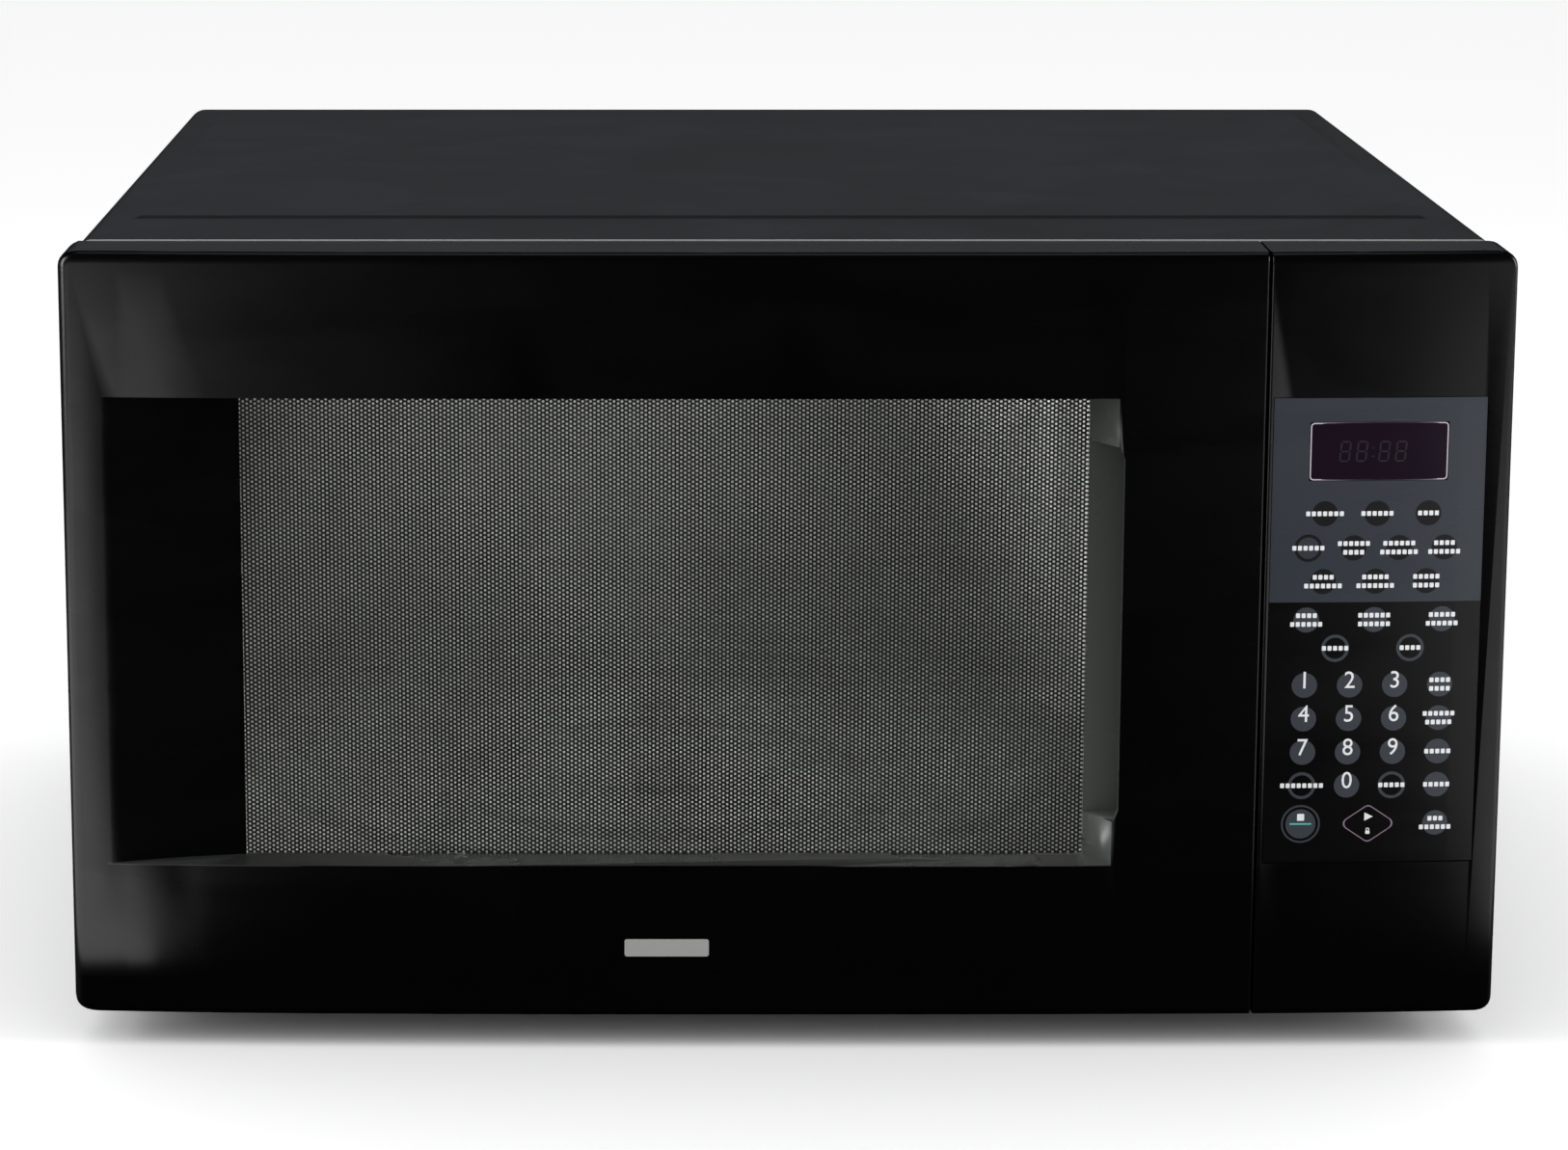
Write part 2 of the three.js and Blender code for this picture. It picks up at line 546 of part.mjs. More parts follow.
function buildTurntable() {
  const { x, y, trayRadius, rollerRadius, rollerCircle } = turntable;
  addPart('turntable_motor', cut(join(rod(25, 16, 'z', [x, y, 28], 32), box(x - 33, x + 33, y - 6, y + 6, 34, 35.8)),
    rod(3.8, 20, 'z', [x, y, 36], 16)), 'zinc_steel');
  const lobes = row(3, (i) => {
    const angle = i * 2 * Math.PI / 3;
    return rod(7, 13, 'z', [x + 11 * Math.cos(angle), y + 11 * Math.sin(angle), 50], 16);
  });
  addPart('turntable_coupler', join(rod(3.5, 20, 'z', [x, y, 37], 16), rod(8, 13, 'z', [x, y, 50], 20), lobes),
    'white_plastic');
  addPart('glass_tray', turned([[0, trayZ], [trayRadius - 9, trayZ], [trayRadius - 1, trayZ + 8],
    [trayRadius, trayZ + 10.5], [trayRadius - 2.5, trayZ + 10.5], [trayRadius - 11, trayZ + 4.4],
    [trayRadius - 16, trayZ + 3.6], [0, trayZ + 3.6]], x, y, 56), 'clear_glass');

  const ringBand = turned([[96, rollerZ - 3], [102, rollerZ - 3], [102, rollerZ + 3], [96, rollerZ + 3],
    [96, rollerZ - 3]], x, y, 48);
  const angles = [0, 1, 2].map((i) => Math.PI / 2 + i * 2 * Math.PI / 3);
  const alongRadius = (solid, angle) => solid.rotate([0, 0, THREE.MathUtils.radToDeg(angle)]).translate([x, y, 0]);
  const axle = join(rod(2, 21, 'x', [111, 0, rollerZ], 12), rod(3.4, 2, 'x', [121, 0, rollerZ], 12));
  addPart('roller_ring', join(ringBand, ...angles.map((angle) => alongRadius(axle, angle))), 'white_plastic');
  const wheelCentre = [rollerCircle, 0, rollerZ];
  const wheel = cut(rod(rollerRadius, 9, 'x', wheelCentre, 28), rod(2.3, 12, 'x', wheelCentre, 12));
  angles.forEach((angle, i) => addPart(`roller_${i + 1}`, alongRadius(wheel, angle), 'white_plastic'));
}

// ---------- power unit ----------

function buildMagnetron() {
  const x0 = waveguideBox.x1 + gap;
  const plate = box(x0, x0 + 2, antenna.y - 48, antenna.y + 48, antenna.z - 40, antenna.z + 40);
  const yoke = cut(box(x0 + 1.9, x0 + 52, antenna.y - 42, antenna.y + 42, antenna.z - 34, antenna.z + 34),
    box(x0 + 4, x0 + 50, antenna.y - 45, antenna.y + 45, antenna.z - 32, antenna.z + 32));
  const anode = rod(18, 48, 'x', [x0 + 27, antenna.y, antenna.z], 24);
  const fins = row(6, (i) => box(x0 + 10 + i * 6.4, x0 + 11 + i * 6.4, antenna.y - 38, antenna.y + 38,
    antenna.z - 32.5, antenna.z + 32.5));
  const filterBox = box(x0 + 51.9, x0 + 76, antenna.y - 26, antenna.y + 26, antenna.z - 26, antenna.z + 26);
  const dome = rod(9, 22, 'x', [x0 - 9, antenna.y, antenna.z], 20, 9);
  addPart('magnetron', join(plate, yoke, anode, fins, filterBox, dome), 'magnetron_metal');
}

function buildTransformer() {
  const core = { x0: 190, x1: 286, y0: -52, y1: 12, z0: 17, z1: 95 };
  const legX = [222, 254];
  const windowCut = (x0, x1) => box(x0, x1, core.y0 - 1, core.y1 + 1, core.z0 + 16, core.z1 - 16);
  addPart('transformer_core', cut(box(core.x0, core.x1, core.y0, core.y1, core.z0, core.z1),
    windowCut(core.x0 + 16, legX[0]), windowCut(legX[1], core.x1 - 16)), 'core_steel');
  const winding = (z0, z1) => cut(
    prism(roundedOutline(legX[0] - 15.6, legX[1] + 15.6, core.y0 - 16, core.y1 + 16, 8), 'z', z0, z1),
    box(legX[0] - gap, legX[1] + gap, core.y0 - gap, core.y1 + gap, z0 - 1, z1 + 1));
  addPart('primary_winding', winding(33.3, 54), 'copper_winding');
  addPart('secondary_winding', winding(56, 78.7), 'copper_winding');
}

function buildHighVoltageParts() {
  const can = { x0: 200, x1: 262, y0: 120, y1: 156, z0: 20, z1: 118 };
  const terminals = row(2, (i) => box(220 + i * 20, 222 + i * 20, 134, 142, can.z1 - 0.5, can.z1 + 10));
  addPart('hv_capacitor', join(prism(roundedOutline(can.x0, can.x1, can.y0, can.y1, 16, 6), 'z', can.z0, can.z1),
    terminals), 'aluminium_can');
  const band = cut(prism(roundedOutline(can.x0 - 1.3, can.x1 + 1.3, can.y0 - 1.3, can.y1 + 1.3, 17, 6), 'z', 60, 74),
    prism(roundedOutline(can.x0 - gap, can.x1 + gap, can.y0 - gap, can.y1 + gap, 16.3, 6), 'z', 59, 75));
  addPart('capacitor_clamp', join(band, box(can.x1 + 1, can.x1 + 20, 137, 138.2, 60, 74)), 'zinc_steel');
  addPart('hv_diode', join(rod(3.5, 16, 'z', [276, 147, 100], 16), rod(0.8, 34, 'z', [276, 147, 100], 10)),
    'black_plastic');
}

const fan = { x: 238, z: 240, radius: 46, y0: 216, y1: 230 };

function buildFan() {
  const plate = box(184, 292, 234, 235.2, 186, 294);
  const throat = rod(fan.radius + 4, 22, 'y', [fan.x, 225, fan.z], 32);
  const bracket = cut(join(plate, throat), rod(fan.radius + 2.5, 60, 'y', [fan.x, 225, fan.z], 32));
  addPart('fan_bracket', bracket, 'grey_plastic');

  const stack = box(fan.x - 26, fan.x + 26, 184, 202, fan.z - 22, fan.z + 30);
  const windows = join(box(fan.x - 14, fan.x - 2.2, 183, 203, fan.z + 8, fan.z + 22),
    box(fan.x + 2.2, fan.x + 14, 183, 203, fan.z + 8, fan.z + 22));
  const coil = box(fan.x - 12, fan.x + 12, 176, 210, fan.z + 24, fan.z + 40);
  const arms = join(box(fan.x - 56, fan.x - 25, 198, 200, fan.z - 5, fan.z + 5),
    box(fan.x + 25, fan.x + 53.4, 198, 200, fan.z - 5, fan.z + 5),
    box(fan.x - 56, fan.x - 54, 198, 233.6, fan.z - 5, fan.z + 5),
    box(fan.x + 51.8, fan.x + 53.4, 198, 233.6, fan.z - 5, fan.z + 5));
  addPart('fan_motor', cut(join(stack, coil, arms), windows, rod(2.4, 60, 'y', [fan.x, 195, fan.z], 12)),
    'core_steel');

  const hub = rod(11, 12, 'y', [fan.x, 223, fan.z], 24);
  const shaft = rod(2, 40, 'y', [fan.x, 200, fan.z], 12);
  const blade = toSolid(new THREE.BoxGeometry(fan.radius - 9, 1.4, 20)).rotate([32, 0, 0])
    .translate([(fan.radius + 9) / 2, 0, 0]);
  const blades = row(5, (i) => blade.rotate([0, i * 72, 0]).translate([fan.x, 223, fan.z]));
  const reach = rod(fan.radius, 14, 'y', [fan.x, 223, fan.z], 32);
  addPart('fan_blade', join(blades.intersect(reach), hub, shaft), 'white_plastic');

  addPart('air_duct', cut(box(208, 291, 110, 172, 194, 288), box(207, 289.6, 109, 173, 195.4, 286.6)), 'grey_plastic');
}

function buildFilterBoard() {
  const board = box(186, 290, -160, -70, 314, 315.6);
  const chokes = row(2, (i) => rod(11, 14, 'z', [212 + i * 34, -100, 307.5], 20));
  const capacitor = box(196, 222, -150, -128, 300, 314.5);
  const clips = row(2, (i) => box(238 + i * 26, 241 + i * 26, -146, -138, 306, 314.5));
  addPart('filter_board', join(board, chokes, capacitor, clips), 'circuit_board');
  addPart('fuse', rod(3, 22, 'x', [252.5, -142, 310], 16), 'clear_glass');
}

// ---------- latch board and door switches ----------

function buildLatchBoard() {
  const z0 = 62;
  const z1 = 300;
  const plateY = frontPlateY + sheet + 0.5;
  const hole = (z) => box(184, 195, plateY - 1, plateY + 4, z - 12, z + 12);
  const shelf = (z) => box(178, 203, plateY, -188.4, z - 1, z + 1);
  const plate = cut(box(178, 203, plateY, plateY + 2.5, z0, z1), hole(latch.upperZ), hole(latch.lowerZ));
  const wall = box(178, 180, plateY, -182, z0, z1);
  const shelves = [latch.upperZ, latch.lowerZ].flatMap((z) => [shelf(z + 14), shelf(z - 14)]);
  addPart('latch_board', join(plate, wall, ...shelves), 'white_plastic');

  const plungerTip = latch.tipY + 0.5;
  const pushed = (name, z) => {
    const body = box(183, 195, -187.6, -171, z - 10, z + 18);
    const bore = box(latch.x - 1.9, latch.x + 1.9, -189, -182.6, z - 3.4, z + 0.4);
    const terminals = row(2, (i) => box(188, 190, -171.5, -164, z - 4 + i * 12, z + i * 12));
    addPart(`${name}_switch`, join(cut(body, bore), terminals), 'grey_plastic');
    addPart(`${name}_plunger`, box(latch.x - 1.5, latch.x + 1.5, plungerTip, -185, z - 3, z), 'white_plastic');
  };
  pushed('primary', latch.upperZ);
  pushed('secondary', latch.lowerZ);

  const z = latch.lowerZ;
  const monitorShell = box(197.5, 213, -206.5, -190.5, z - 12, z + 12);
  const monitorBody = cut(monitorShell, box(196, 204, -201.9, -198.1, z - 1.9, z + 1.9));
  const monitorTabs = row(2, (i) => box(212.5, 219, -200, -198, z - 6 + i * 8, z - 2 + i * 8));
  addPart('monitor_switch', join(monitorBody, monitorTabs),
    'grey_plastic');
  addPart('monitor_plunger', box(192.4, 201, -201.5, -198.5, z - 1.5, z + 1.5), 'white_plastic');
}

buildDoorFrame();
buildBadge();
buildDoorInside();
buildLatch();
buildHinges();
buildControlPanel();
buildCabinet();
buildCavity();
buildTurntable();
buildMagnetron();
buildTransformer();
buildHighVoltageParts();
buildFan();
buildFilterBoard();
buildLatchBoard();

export default model;
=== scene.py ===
import bpy
import bmesh
import json
import math
from mathutils import Matrix, Vector

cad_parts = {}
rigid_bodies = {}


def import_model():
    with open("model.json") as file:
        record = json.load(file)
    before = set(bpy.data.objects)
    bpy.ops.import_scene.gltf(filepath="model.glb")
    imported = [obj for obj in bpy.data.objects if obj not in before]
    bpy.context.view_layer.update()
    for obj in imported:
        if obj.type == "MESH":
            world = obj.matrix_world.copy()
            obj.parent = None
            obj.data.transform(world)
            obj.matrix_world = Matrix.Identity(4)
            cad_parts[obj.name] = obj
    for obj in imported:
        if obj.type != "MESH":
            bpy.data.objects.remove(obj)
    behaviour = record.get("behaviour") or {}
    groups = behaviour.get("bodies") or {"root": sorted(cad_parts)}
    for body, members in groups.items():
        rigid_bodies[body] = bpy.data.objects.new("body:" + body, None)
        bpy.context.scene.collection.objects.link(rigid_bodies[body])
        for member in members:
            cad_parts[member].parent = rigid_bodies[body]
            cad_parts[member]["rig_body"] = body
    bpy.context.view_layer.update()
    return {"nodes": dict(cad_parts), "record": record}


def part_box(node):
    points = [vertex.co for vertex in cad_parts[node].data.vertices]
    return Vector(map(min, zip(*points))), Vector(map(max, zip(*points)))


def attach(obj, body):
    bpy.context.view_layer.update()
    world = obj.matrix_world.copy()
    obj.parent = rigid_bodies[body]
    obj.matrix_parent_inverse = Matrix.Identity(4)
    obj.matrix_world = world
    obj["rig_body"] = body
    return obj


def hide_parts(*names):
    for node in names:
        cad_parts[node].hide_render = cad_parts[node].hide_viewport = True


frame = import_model()
nodes = frame["nodes"]
scene = bpy.context.scene
mm = 0.001


# camera, a little above the top edge and in front
view = dict(place=(-0.059, -1.933, 0.608), pitch=10.11, lens=94.85, shiftX=0.0886, shiftY=-0.15)

cameraData = bpy.data.cameras.new("camera")
cameraData.lens = view["lens"]
cameraData.sensor_width = 36
cameraData.shift_x = view["shiftX"]
cameraData.shift_y = view["shiftY"]
cameraData.clip_end = 60
camera = bpy.data.objects.new("camera", cameraData)
camera.location = view["place"]
camera.rotation_euler = (math.radians(90 - view["pitch"]), 0, 0)
scene.collection.objects.link(camera)
scene.camera = camera
print("camera ready")


# ---- shader helpers ----

def newGroup(name, inputs, outputs):
    group = bpy.data.node_groups.new(name, "ShaderNodeTree")
    for label, kind, value in inputs:
        socket = group.interface.new_socket(name=label, in_out="INPUT", socket_type=kind)
        if value is not None:
            socket.default_value = value
    for label, kind in outputs:
        group.interface.new_socket(name=label, in_out="OUTPUT", socket_type=kind)
    start = group.nodes.new("NodeGroupInput")
    end = group.nodes.new("NodeGroupOutput")
    return group, start, end


def addNode(tree, kind, **values):
    node = tree.nodes.new(kind)
    for key, value in values.items():
        if hasattr(node, key):
            setattr(node, key, value)
    return node


def mathNode(tree, operation, first, second=None, clamp=False):
    node = addNode(tree, "ShaderNodeMath", operation=operation, use_clamp=clamp)
    for slot, value in enumerate((first, second)):
        if value is None:
            continue
        if isinstance(value, (int, float)):
            node.inputs[slot].default_value = value
        else:
            tree.links.new(value, node.inputs[slot])
    return node.outputs[0]


def rangeNode(tree, value, fromLow, fromHigh, toLow, toHigh):
    node = addNode(tree, "ShaderNodeMapRange")
    tree.links.new(value, node.inputs["Value"])
    labels = ("From Min", "From Max", "To Min", "To Max")
    for label, amount in zip(labels, (fromLow, fromHigh, toLow, toHigh)):
        if isinstance(amount, (int, float)):
            node.inputs[label].default_value = amount
        else:
            tree.links.new(amount, node.inputs[label])
    return node.outputs["Result"]


def mixColor(tree, factor, first, second):
    node = addNode(tree, "ShaderNodeMix", data_type="RGBA")
    for slot, value in ((0, factor), (6, first), (7, second)):
        if isinstance(value, (int, float)):
            node.inputs[slot].default_value = value
        elif isinstance(value, tuple):
            node.inputs[slot].default_value = (*value, 1)
        else:
            tree.links.new(value, node.inputs[slot])
    return node.outputs[2]


def makeGrain():
    # fine moulded or sprayed texture: a height for bump and a slow tint
    group, start, end = newGroup("surfaceGrain",
        [("Vector", "NodeSocketVector", None), ("Scale", "NodeSocketFloat", 900.0)],
        [("Height", "NodeSocketFloat"), ("Tint", "NodeSocketFloat")])
    fine = addNode(group, "ShaderNodeTexNoise")
    fine.inputs["Detail"].default_value = 3
    group.links.new(start.outputs["Vector"], fine.inputs["Vector"])
    group.links.new(start.outputs["Scale"], fine.inputs["Scale"])
    slow = addNode(group, "ShaderNodeTexNoise")
    slow.inputs["Scale"].default_value = 7
    slow.inputs["Detail"].default_value = 4
    group.links.new(start.outputs["Vector"], slow.inputs["Vector"])
    group.links.new(fine.outputs["Fac"], end.inputs["Height"])
    group.links.new(slow.outputs["Fac"], end.inputs["Tint"])
    return group


def makeWipe():
    # faint marks left by a cloth: roughness between two values
    group, start, end = newGroup("wipeMarks",
        [("Vector", "NodeSocketVector", None), ("Low", "NodeSocketFloat", 0.2),
            ("High", "NodeSocketFloat", 0.3)],
        [("Roughness", "NodeSocketFloat")])
    stretch = addNode(group, "ShaderNodeMapping")
    stretch.inputs["Scale"].default_value = (3, 3, 11)
    stretch.inputs["Rotation"].default_value = (0, 0.5, 0)
    group.links.new(start.outputs["Vector"], stretch.inputs["Vector"])
    cloud = addNode(group, "ShaderNodeTexNoise")
    cloud.inputs["Scale"].default_value = 3.5
    cloud.inputs["Detail"].default_value = 6
    cloud.inputs["Distortion"].default_value = 0.7
    group.links.new(stretch.outputs["Vector"], cloud.inputs["Vector"])
    result = rangeNode(group, cloud.outputs["Fac"], 0.35, 0.65, start.outputs["Low"], start.outputs["High"])
    group.links.new(result, end.inputs["Roughness"])
    return group


def makeDust():
    # settled dust on faces that look up, thin and patchy
    group, start, end = newGroup("settledDust",
        [("Vector", "NodeSocketVector", None), ("Amount", "NodeSocketFloat", 0.1)],
        [("Mask", "NodeSocketFloat")])
    surface = addNode(group, "ShaderNodeNewGeometry")
    split = addNode(group, "ShaderNodeSeparateXYZ")
    group.links.new(surface.outputs["Normal"], split.inputs[0])
    up = rangeNode(group, split.outputs["Z"], 0.5, 1.0, 0.0, 1.0)
    patch = addNode(group, "ShaderNodeTexNoise")
    patch.inputs["Scale"].default_value = 38
    patch.inputs["Detail"].default_value = 8
    group.links.new(start.outputs["Vector"], patch.inputs["Vector"])
    patches = rangeNode(group, patch.outputs["Fac"], 0.35, 0.75, 0.35, 1.0)
    both = mathNode(group, "MULTIPLY", up, patches)
    group.links.new(mathNode(group, "MULTIPLY", both, start.outputs["Amount"], True), end.inputs["Mask"])
    return group


def makeBrush():
    # straight drawn lines in metal along one direction
    group, start, end = newGroup("drawnLines",
        [("Vector", "NodeSocketVector", None), ("Low", "NodeSocketFloat", 0.25),
            ("High", "NodeSocketFloat", 0.45)],
        [("Roughness", "NodeSocketFloat"), ("Height", "NodeSocketFloat")])
    stretch = addNode(group, "ShaderNodeMapping")
    stretch.inputs["Scale"].default_value = (8, 40, 900)
    group.links.new(start.outputs["Vector"], stretch.inputs["Vector"])
    lines = addNode(group, "ShaderNodeTexNoise")
    lines.inputs["Scale"].default_value = 2
    lines.inputs["Detail"].default_value = 4
    group.links.new(stretch.outputs["Vector"], lines.inputs["Vector"])
    result = rangeNode(group, lines.outputs["Fac"], 0.3, 0.7, start.outputs["Low"], start.outputs["High"])
    group.links.new(result, end.inputs["Roughness"])
    group.links.new(lines.outputs["Fac"], end.inputs["Height"])
    return group


groups = dict(grain=makeGrain(), wipe=makeWipe(), dust=makeDust(), brush=makeBrush())


def placeGroup(tree, key, place, **values):
    node = addNode(tree, "ShaderNodeGroup")
    node.node_tree = groups[key]
    tree.links.new(place, node.inputs["Vector"])
    for label, value in values.items():
        node.inputs[label].default_value = value
    return node


def startMaterial(name):
    material = bpy.data.materials.new(name)
    material.use_nodes = True
    tree = material.node_tree
    shader = tree.nodes["Principled BSDF"]
    place = addNode(tree, "ShaderNodeTexCoord").outputs["Object"]
    return material, tree, shader, place


def addBump(tree, shader, height, strength, distance):
    bump = addNode(tree, "ShaderNodeBump")
    bump.inputs["Strength"].default_value = strength
    bump.inputs["Distance"].default_value = distance
    tree.links.new(height, bump.inputs["Height"])
    tree.links.new(bump.outputs["Normal"], shader.inputs["Normal"])


# ---- finishes ----

def plastic(name, color, low, high, grain=900, bump=0.05, dust=0.0, shade=0.15, specular=0.5):
    material, tree, shader, place = startMaterial(name)
    texture = placeGroup(tree, "grain", place, Scale=grain)
    marks = placeGroup(tree, "wipe", place, Low=low, High=high)
    darker = tuple(c * (1 - shade) for c in color)
    lighter = tuple(c * (1 + shade) for c in color)
    tinted = mixColor(tree, texture.outputs["Tint"], darker, lighter)
    if dust:
        settled = placeGroup(tree, "dust", place, Amount=dust)
        tinted = mixColor(tree, settled.outputs["Mask"], tinted, (0.36, 0.35, 0.33))
    tree.links.new(tinted, shader.inputs["Base Color"])
    tree.links.new(marks.outputs["Roughness"], shader.inputs["Roughness"])
    addBump(tree, shader, texture.outputs["Height"], bump, 0.0002)
    shader.inputs["Specular IOR Level"].default_value = specular
    return material


def paint(name, color, low, high, grain=650, bump=0.16, dust=0.03):
    material = plastic(name, color, low, high, grain, bump, dust, 0.08)
    return material


def metal(name, color, low, high, bump=0.06):
    material, tree, shader, place = startMaterial(name)
    lines = placeGroup(tree, "brush", place, Low=low, High=high)
    texture = placeGroup(tree, "grain", place, Scale=300.0)
    darker = tuple(c * 0.85 for c in color)
    tree.links.new(mixColor(tree, texture.outputs["Tint"], darker, color), shader.inputs["Base Color"])
    tree.links.new(lines.outputs["Roughness"], shader.inputs["Roughness"])
    addBump(tree, shader, lines.outputs["Height"], bump, 0.0001)
    shader.inputs["Metallic"].default_value = 1
    return material


def clear(name, color, low, high, transmission, alpha, ior=1.5):
    # thin clear sheet: part of the light passes straight through
    material, tree, shader, place = startMaterial(name)
    marks = placeGroup(tree, "wipe", place, Low=low, High=high)
    shader.inputs["Base Color"].default_value = (*color, 1)
    tree.links.new(marks.outputs["Roughness"], shader.inputs["Roughness"])
    shader.inputs["Transmission Weight"].default_value = transmission
    shader.inputs["Alpha"].default_value = alpha
    shader.inputs["IOR"].default_value = ior
    return material


# painted sheen: the colour and shares below make the ledge and strip of the window recess lighter than the black
# fascia
recess = dict(front=-247.9, bottom=81.0, top=283.0, stripX=(127.4, 158.4), stripZ=(80.6, 283.2),
    ledgeX=(-287, 140), slack=0.35, ledgeShare=0.4, topShare=0.62, color=(0.056, 0.062, 0.057))


def makeRecessPaintedSheen():
    # painted sheen round the window: a lighter colour on the ledge below it and the strip beside the handle,
    # strongest at the bottom and fading towards the top, standing in for the light these faces catch
    group, start, end = newGroup("recessTone", [("Vector", "NodeSocketVector", None)],
        [("Mask", "NodeSocketFloat")])
    split = addNode(group, "ShaderNodeSeparateXYZ")
    group.links.new(start.outputs["Vector"], split.inputs[0])
    x, y, z = split.outputs

    def between(value, low, high):
        over = mathNode(group, "GREATER_THAN", value, low * mm)
        return mathNode(group, "MULTIPLY", over, mathNode(group, "LESS_THAN", value, high * mm))

    behind = mathNode(group, "GREATER_THAN", y, recess["front"] * mm)
    strip = mathNode(group, "MULTIPLY", between(x, *recess["stripX"]), between(z, *recess["stripZ"]))
    ledge = mathNode(group, "COMPARE", z, recess["bottom"] * mm)
    ledge.node.inputs[2].default_value = recess["slack"] * mm
    ledge = mathNode(group, "MULTIPLY", ledge, between(x, *recess["ledgeX"]))
    ledge = mathNode(group, "MULTIPLY", ledge, recess["ledgeShare"])
    both = mathNode(group, "MAXIMUM", strip, ledge)
    fade = rangeNode(group, z, recess["bottom"] * mm, recess["top"] * mm, 1.0, recess["topShare"])
    withPaintedSheen = mathNode(group, "MULTIPLY", mathNode(group, "MULTIPLY", both, behind), fade)
    group.links.new(withPaintedSheen, end.inputs["Mask"])
    return group


groups["recess"] = makeRecessPaintedSheen()


def fasciaPlastic(name, color):
    material = plastic(name, color, 0.25, 0.3, 1500, 0.012, 0.0)
    tree = material.node_tree
    shader = tree.nodes["Principled BSDF"]
    place = next(n for n in tree.nodes if n.bl_idname == "ShaderNodeTexCoord").outputs["Object"]
    # painted sheen: mixes the lighter recess colour into the base colour on the ledge and the strip
    tone = placeGroup(tree, "recess", place)
    before = shader.inputs["Base Color"].links[0].from_socket
    withPaintedSheen = mixColor(tree, tone.outputs["Mask"], before, recess["color"])
    tree.links.new(withPaintedSheen, shader.inputs["Base Color"])
    return material


def overlayFilm(name):
    # printed satin film: blue grey above the split line, black below
    material, tree, shader, place = startMaterial(name)
    split = addNode(tree, "ShaderNodeSeparateXYZ")
    tree.links.new(place, split.inputs[0])
    above = mathNode(tree, "GREATER_THAN", split.outputs["Z"], keypad["splitZ"] * mm)
    texture = placeGroup(tree, "grain", place, Scale=1400.0)
    marks = placeGroup(tree, "wipe", place, Low=0.24, High=0.34)
    lower = mixColor(tree, texture.outputs["Tint"], (0.0008, 0.0008, 0.0009), (0.0016, 0.0016, 0.0018))
    upper = mixColor(tree, texture.outputs["Tint"], (0.021, 0.026, 0.034), (0.027, 0.032, 0.041))
    tree.links.new(mixColor(tree, above, lower, upper), shader.inputs["Base Color"])
    tree.links.new(marks.outputs["Roughness"], shader.inputs["Roughness"])
    addBump(tree, shader, texture.outputs["Height"], 0.04, 0.0001)
    return material


def ink(name, color, roughness=0.42):
    material, tree, shader, place = startMaterial(name)
    texture = placeGroup(tree, "grain", place, Scale=2200.0)
    darker = tuple(c * 0.88 for c in color)
    tree.links.new(mixColor(tree, texture.outputs["Tint"], darker, color), shader.inputs["Base Color"])
    shader.inputs["Roughness"].default_value = roughness
    return material


def winding(name):
    # enamelled copper wire, laid in close turns
    material, tree, shader, place = startMaterial(name)
    turns = addNode(tree, "ShaderNodeTexWave", bands_direction="Z")
    turns.inputs["Scale"].default_value = 260
    tree.links.new(place, turns.inputs["Vector"])
    # painted shade: the low bands, where the bump sinks between turns, take the dark copper colour
    tree.links.new(mixColor(tree, turns.outputs["Fac"], (0.16, 0.05, 0.015), (0.52, 0.2, 0.07)),
        shader.inputs["Base Color"])
    shader.inputs["Roughness"].default_value = 0.35
    shader.inputs["Metallic"].default_value = 0.8
    addBump(tree, shader, turns.outputs["Fac"], 0.5, 0.0004)
    return material


keypad = dict(splitZ=195.6, left=202.5, right=292.0, bottom=82.2, top=282.9, disc=5.4, ring=(4.6, 5.9),
    inkProud=0.04, columns=(218.4, 237.5, 256.6, 275.7), line=3.75,
    strokePitch=2.35, strokeGap=0.65, strokeHigh=2.0, symbol=1.5, digit=10.4,
    digitDrop=1.25, digitNarrow=0.95)

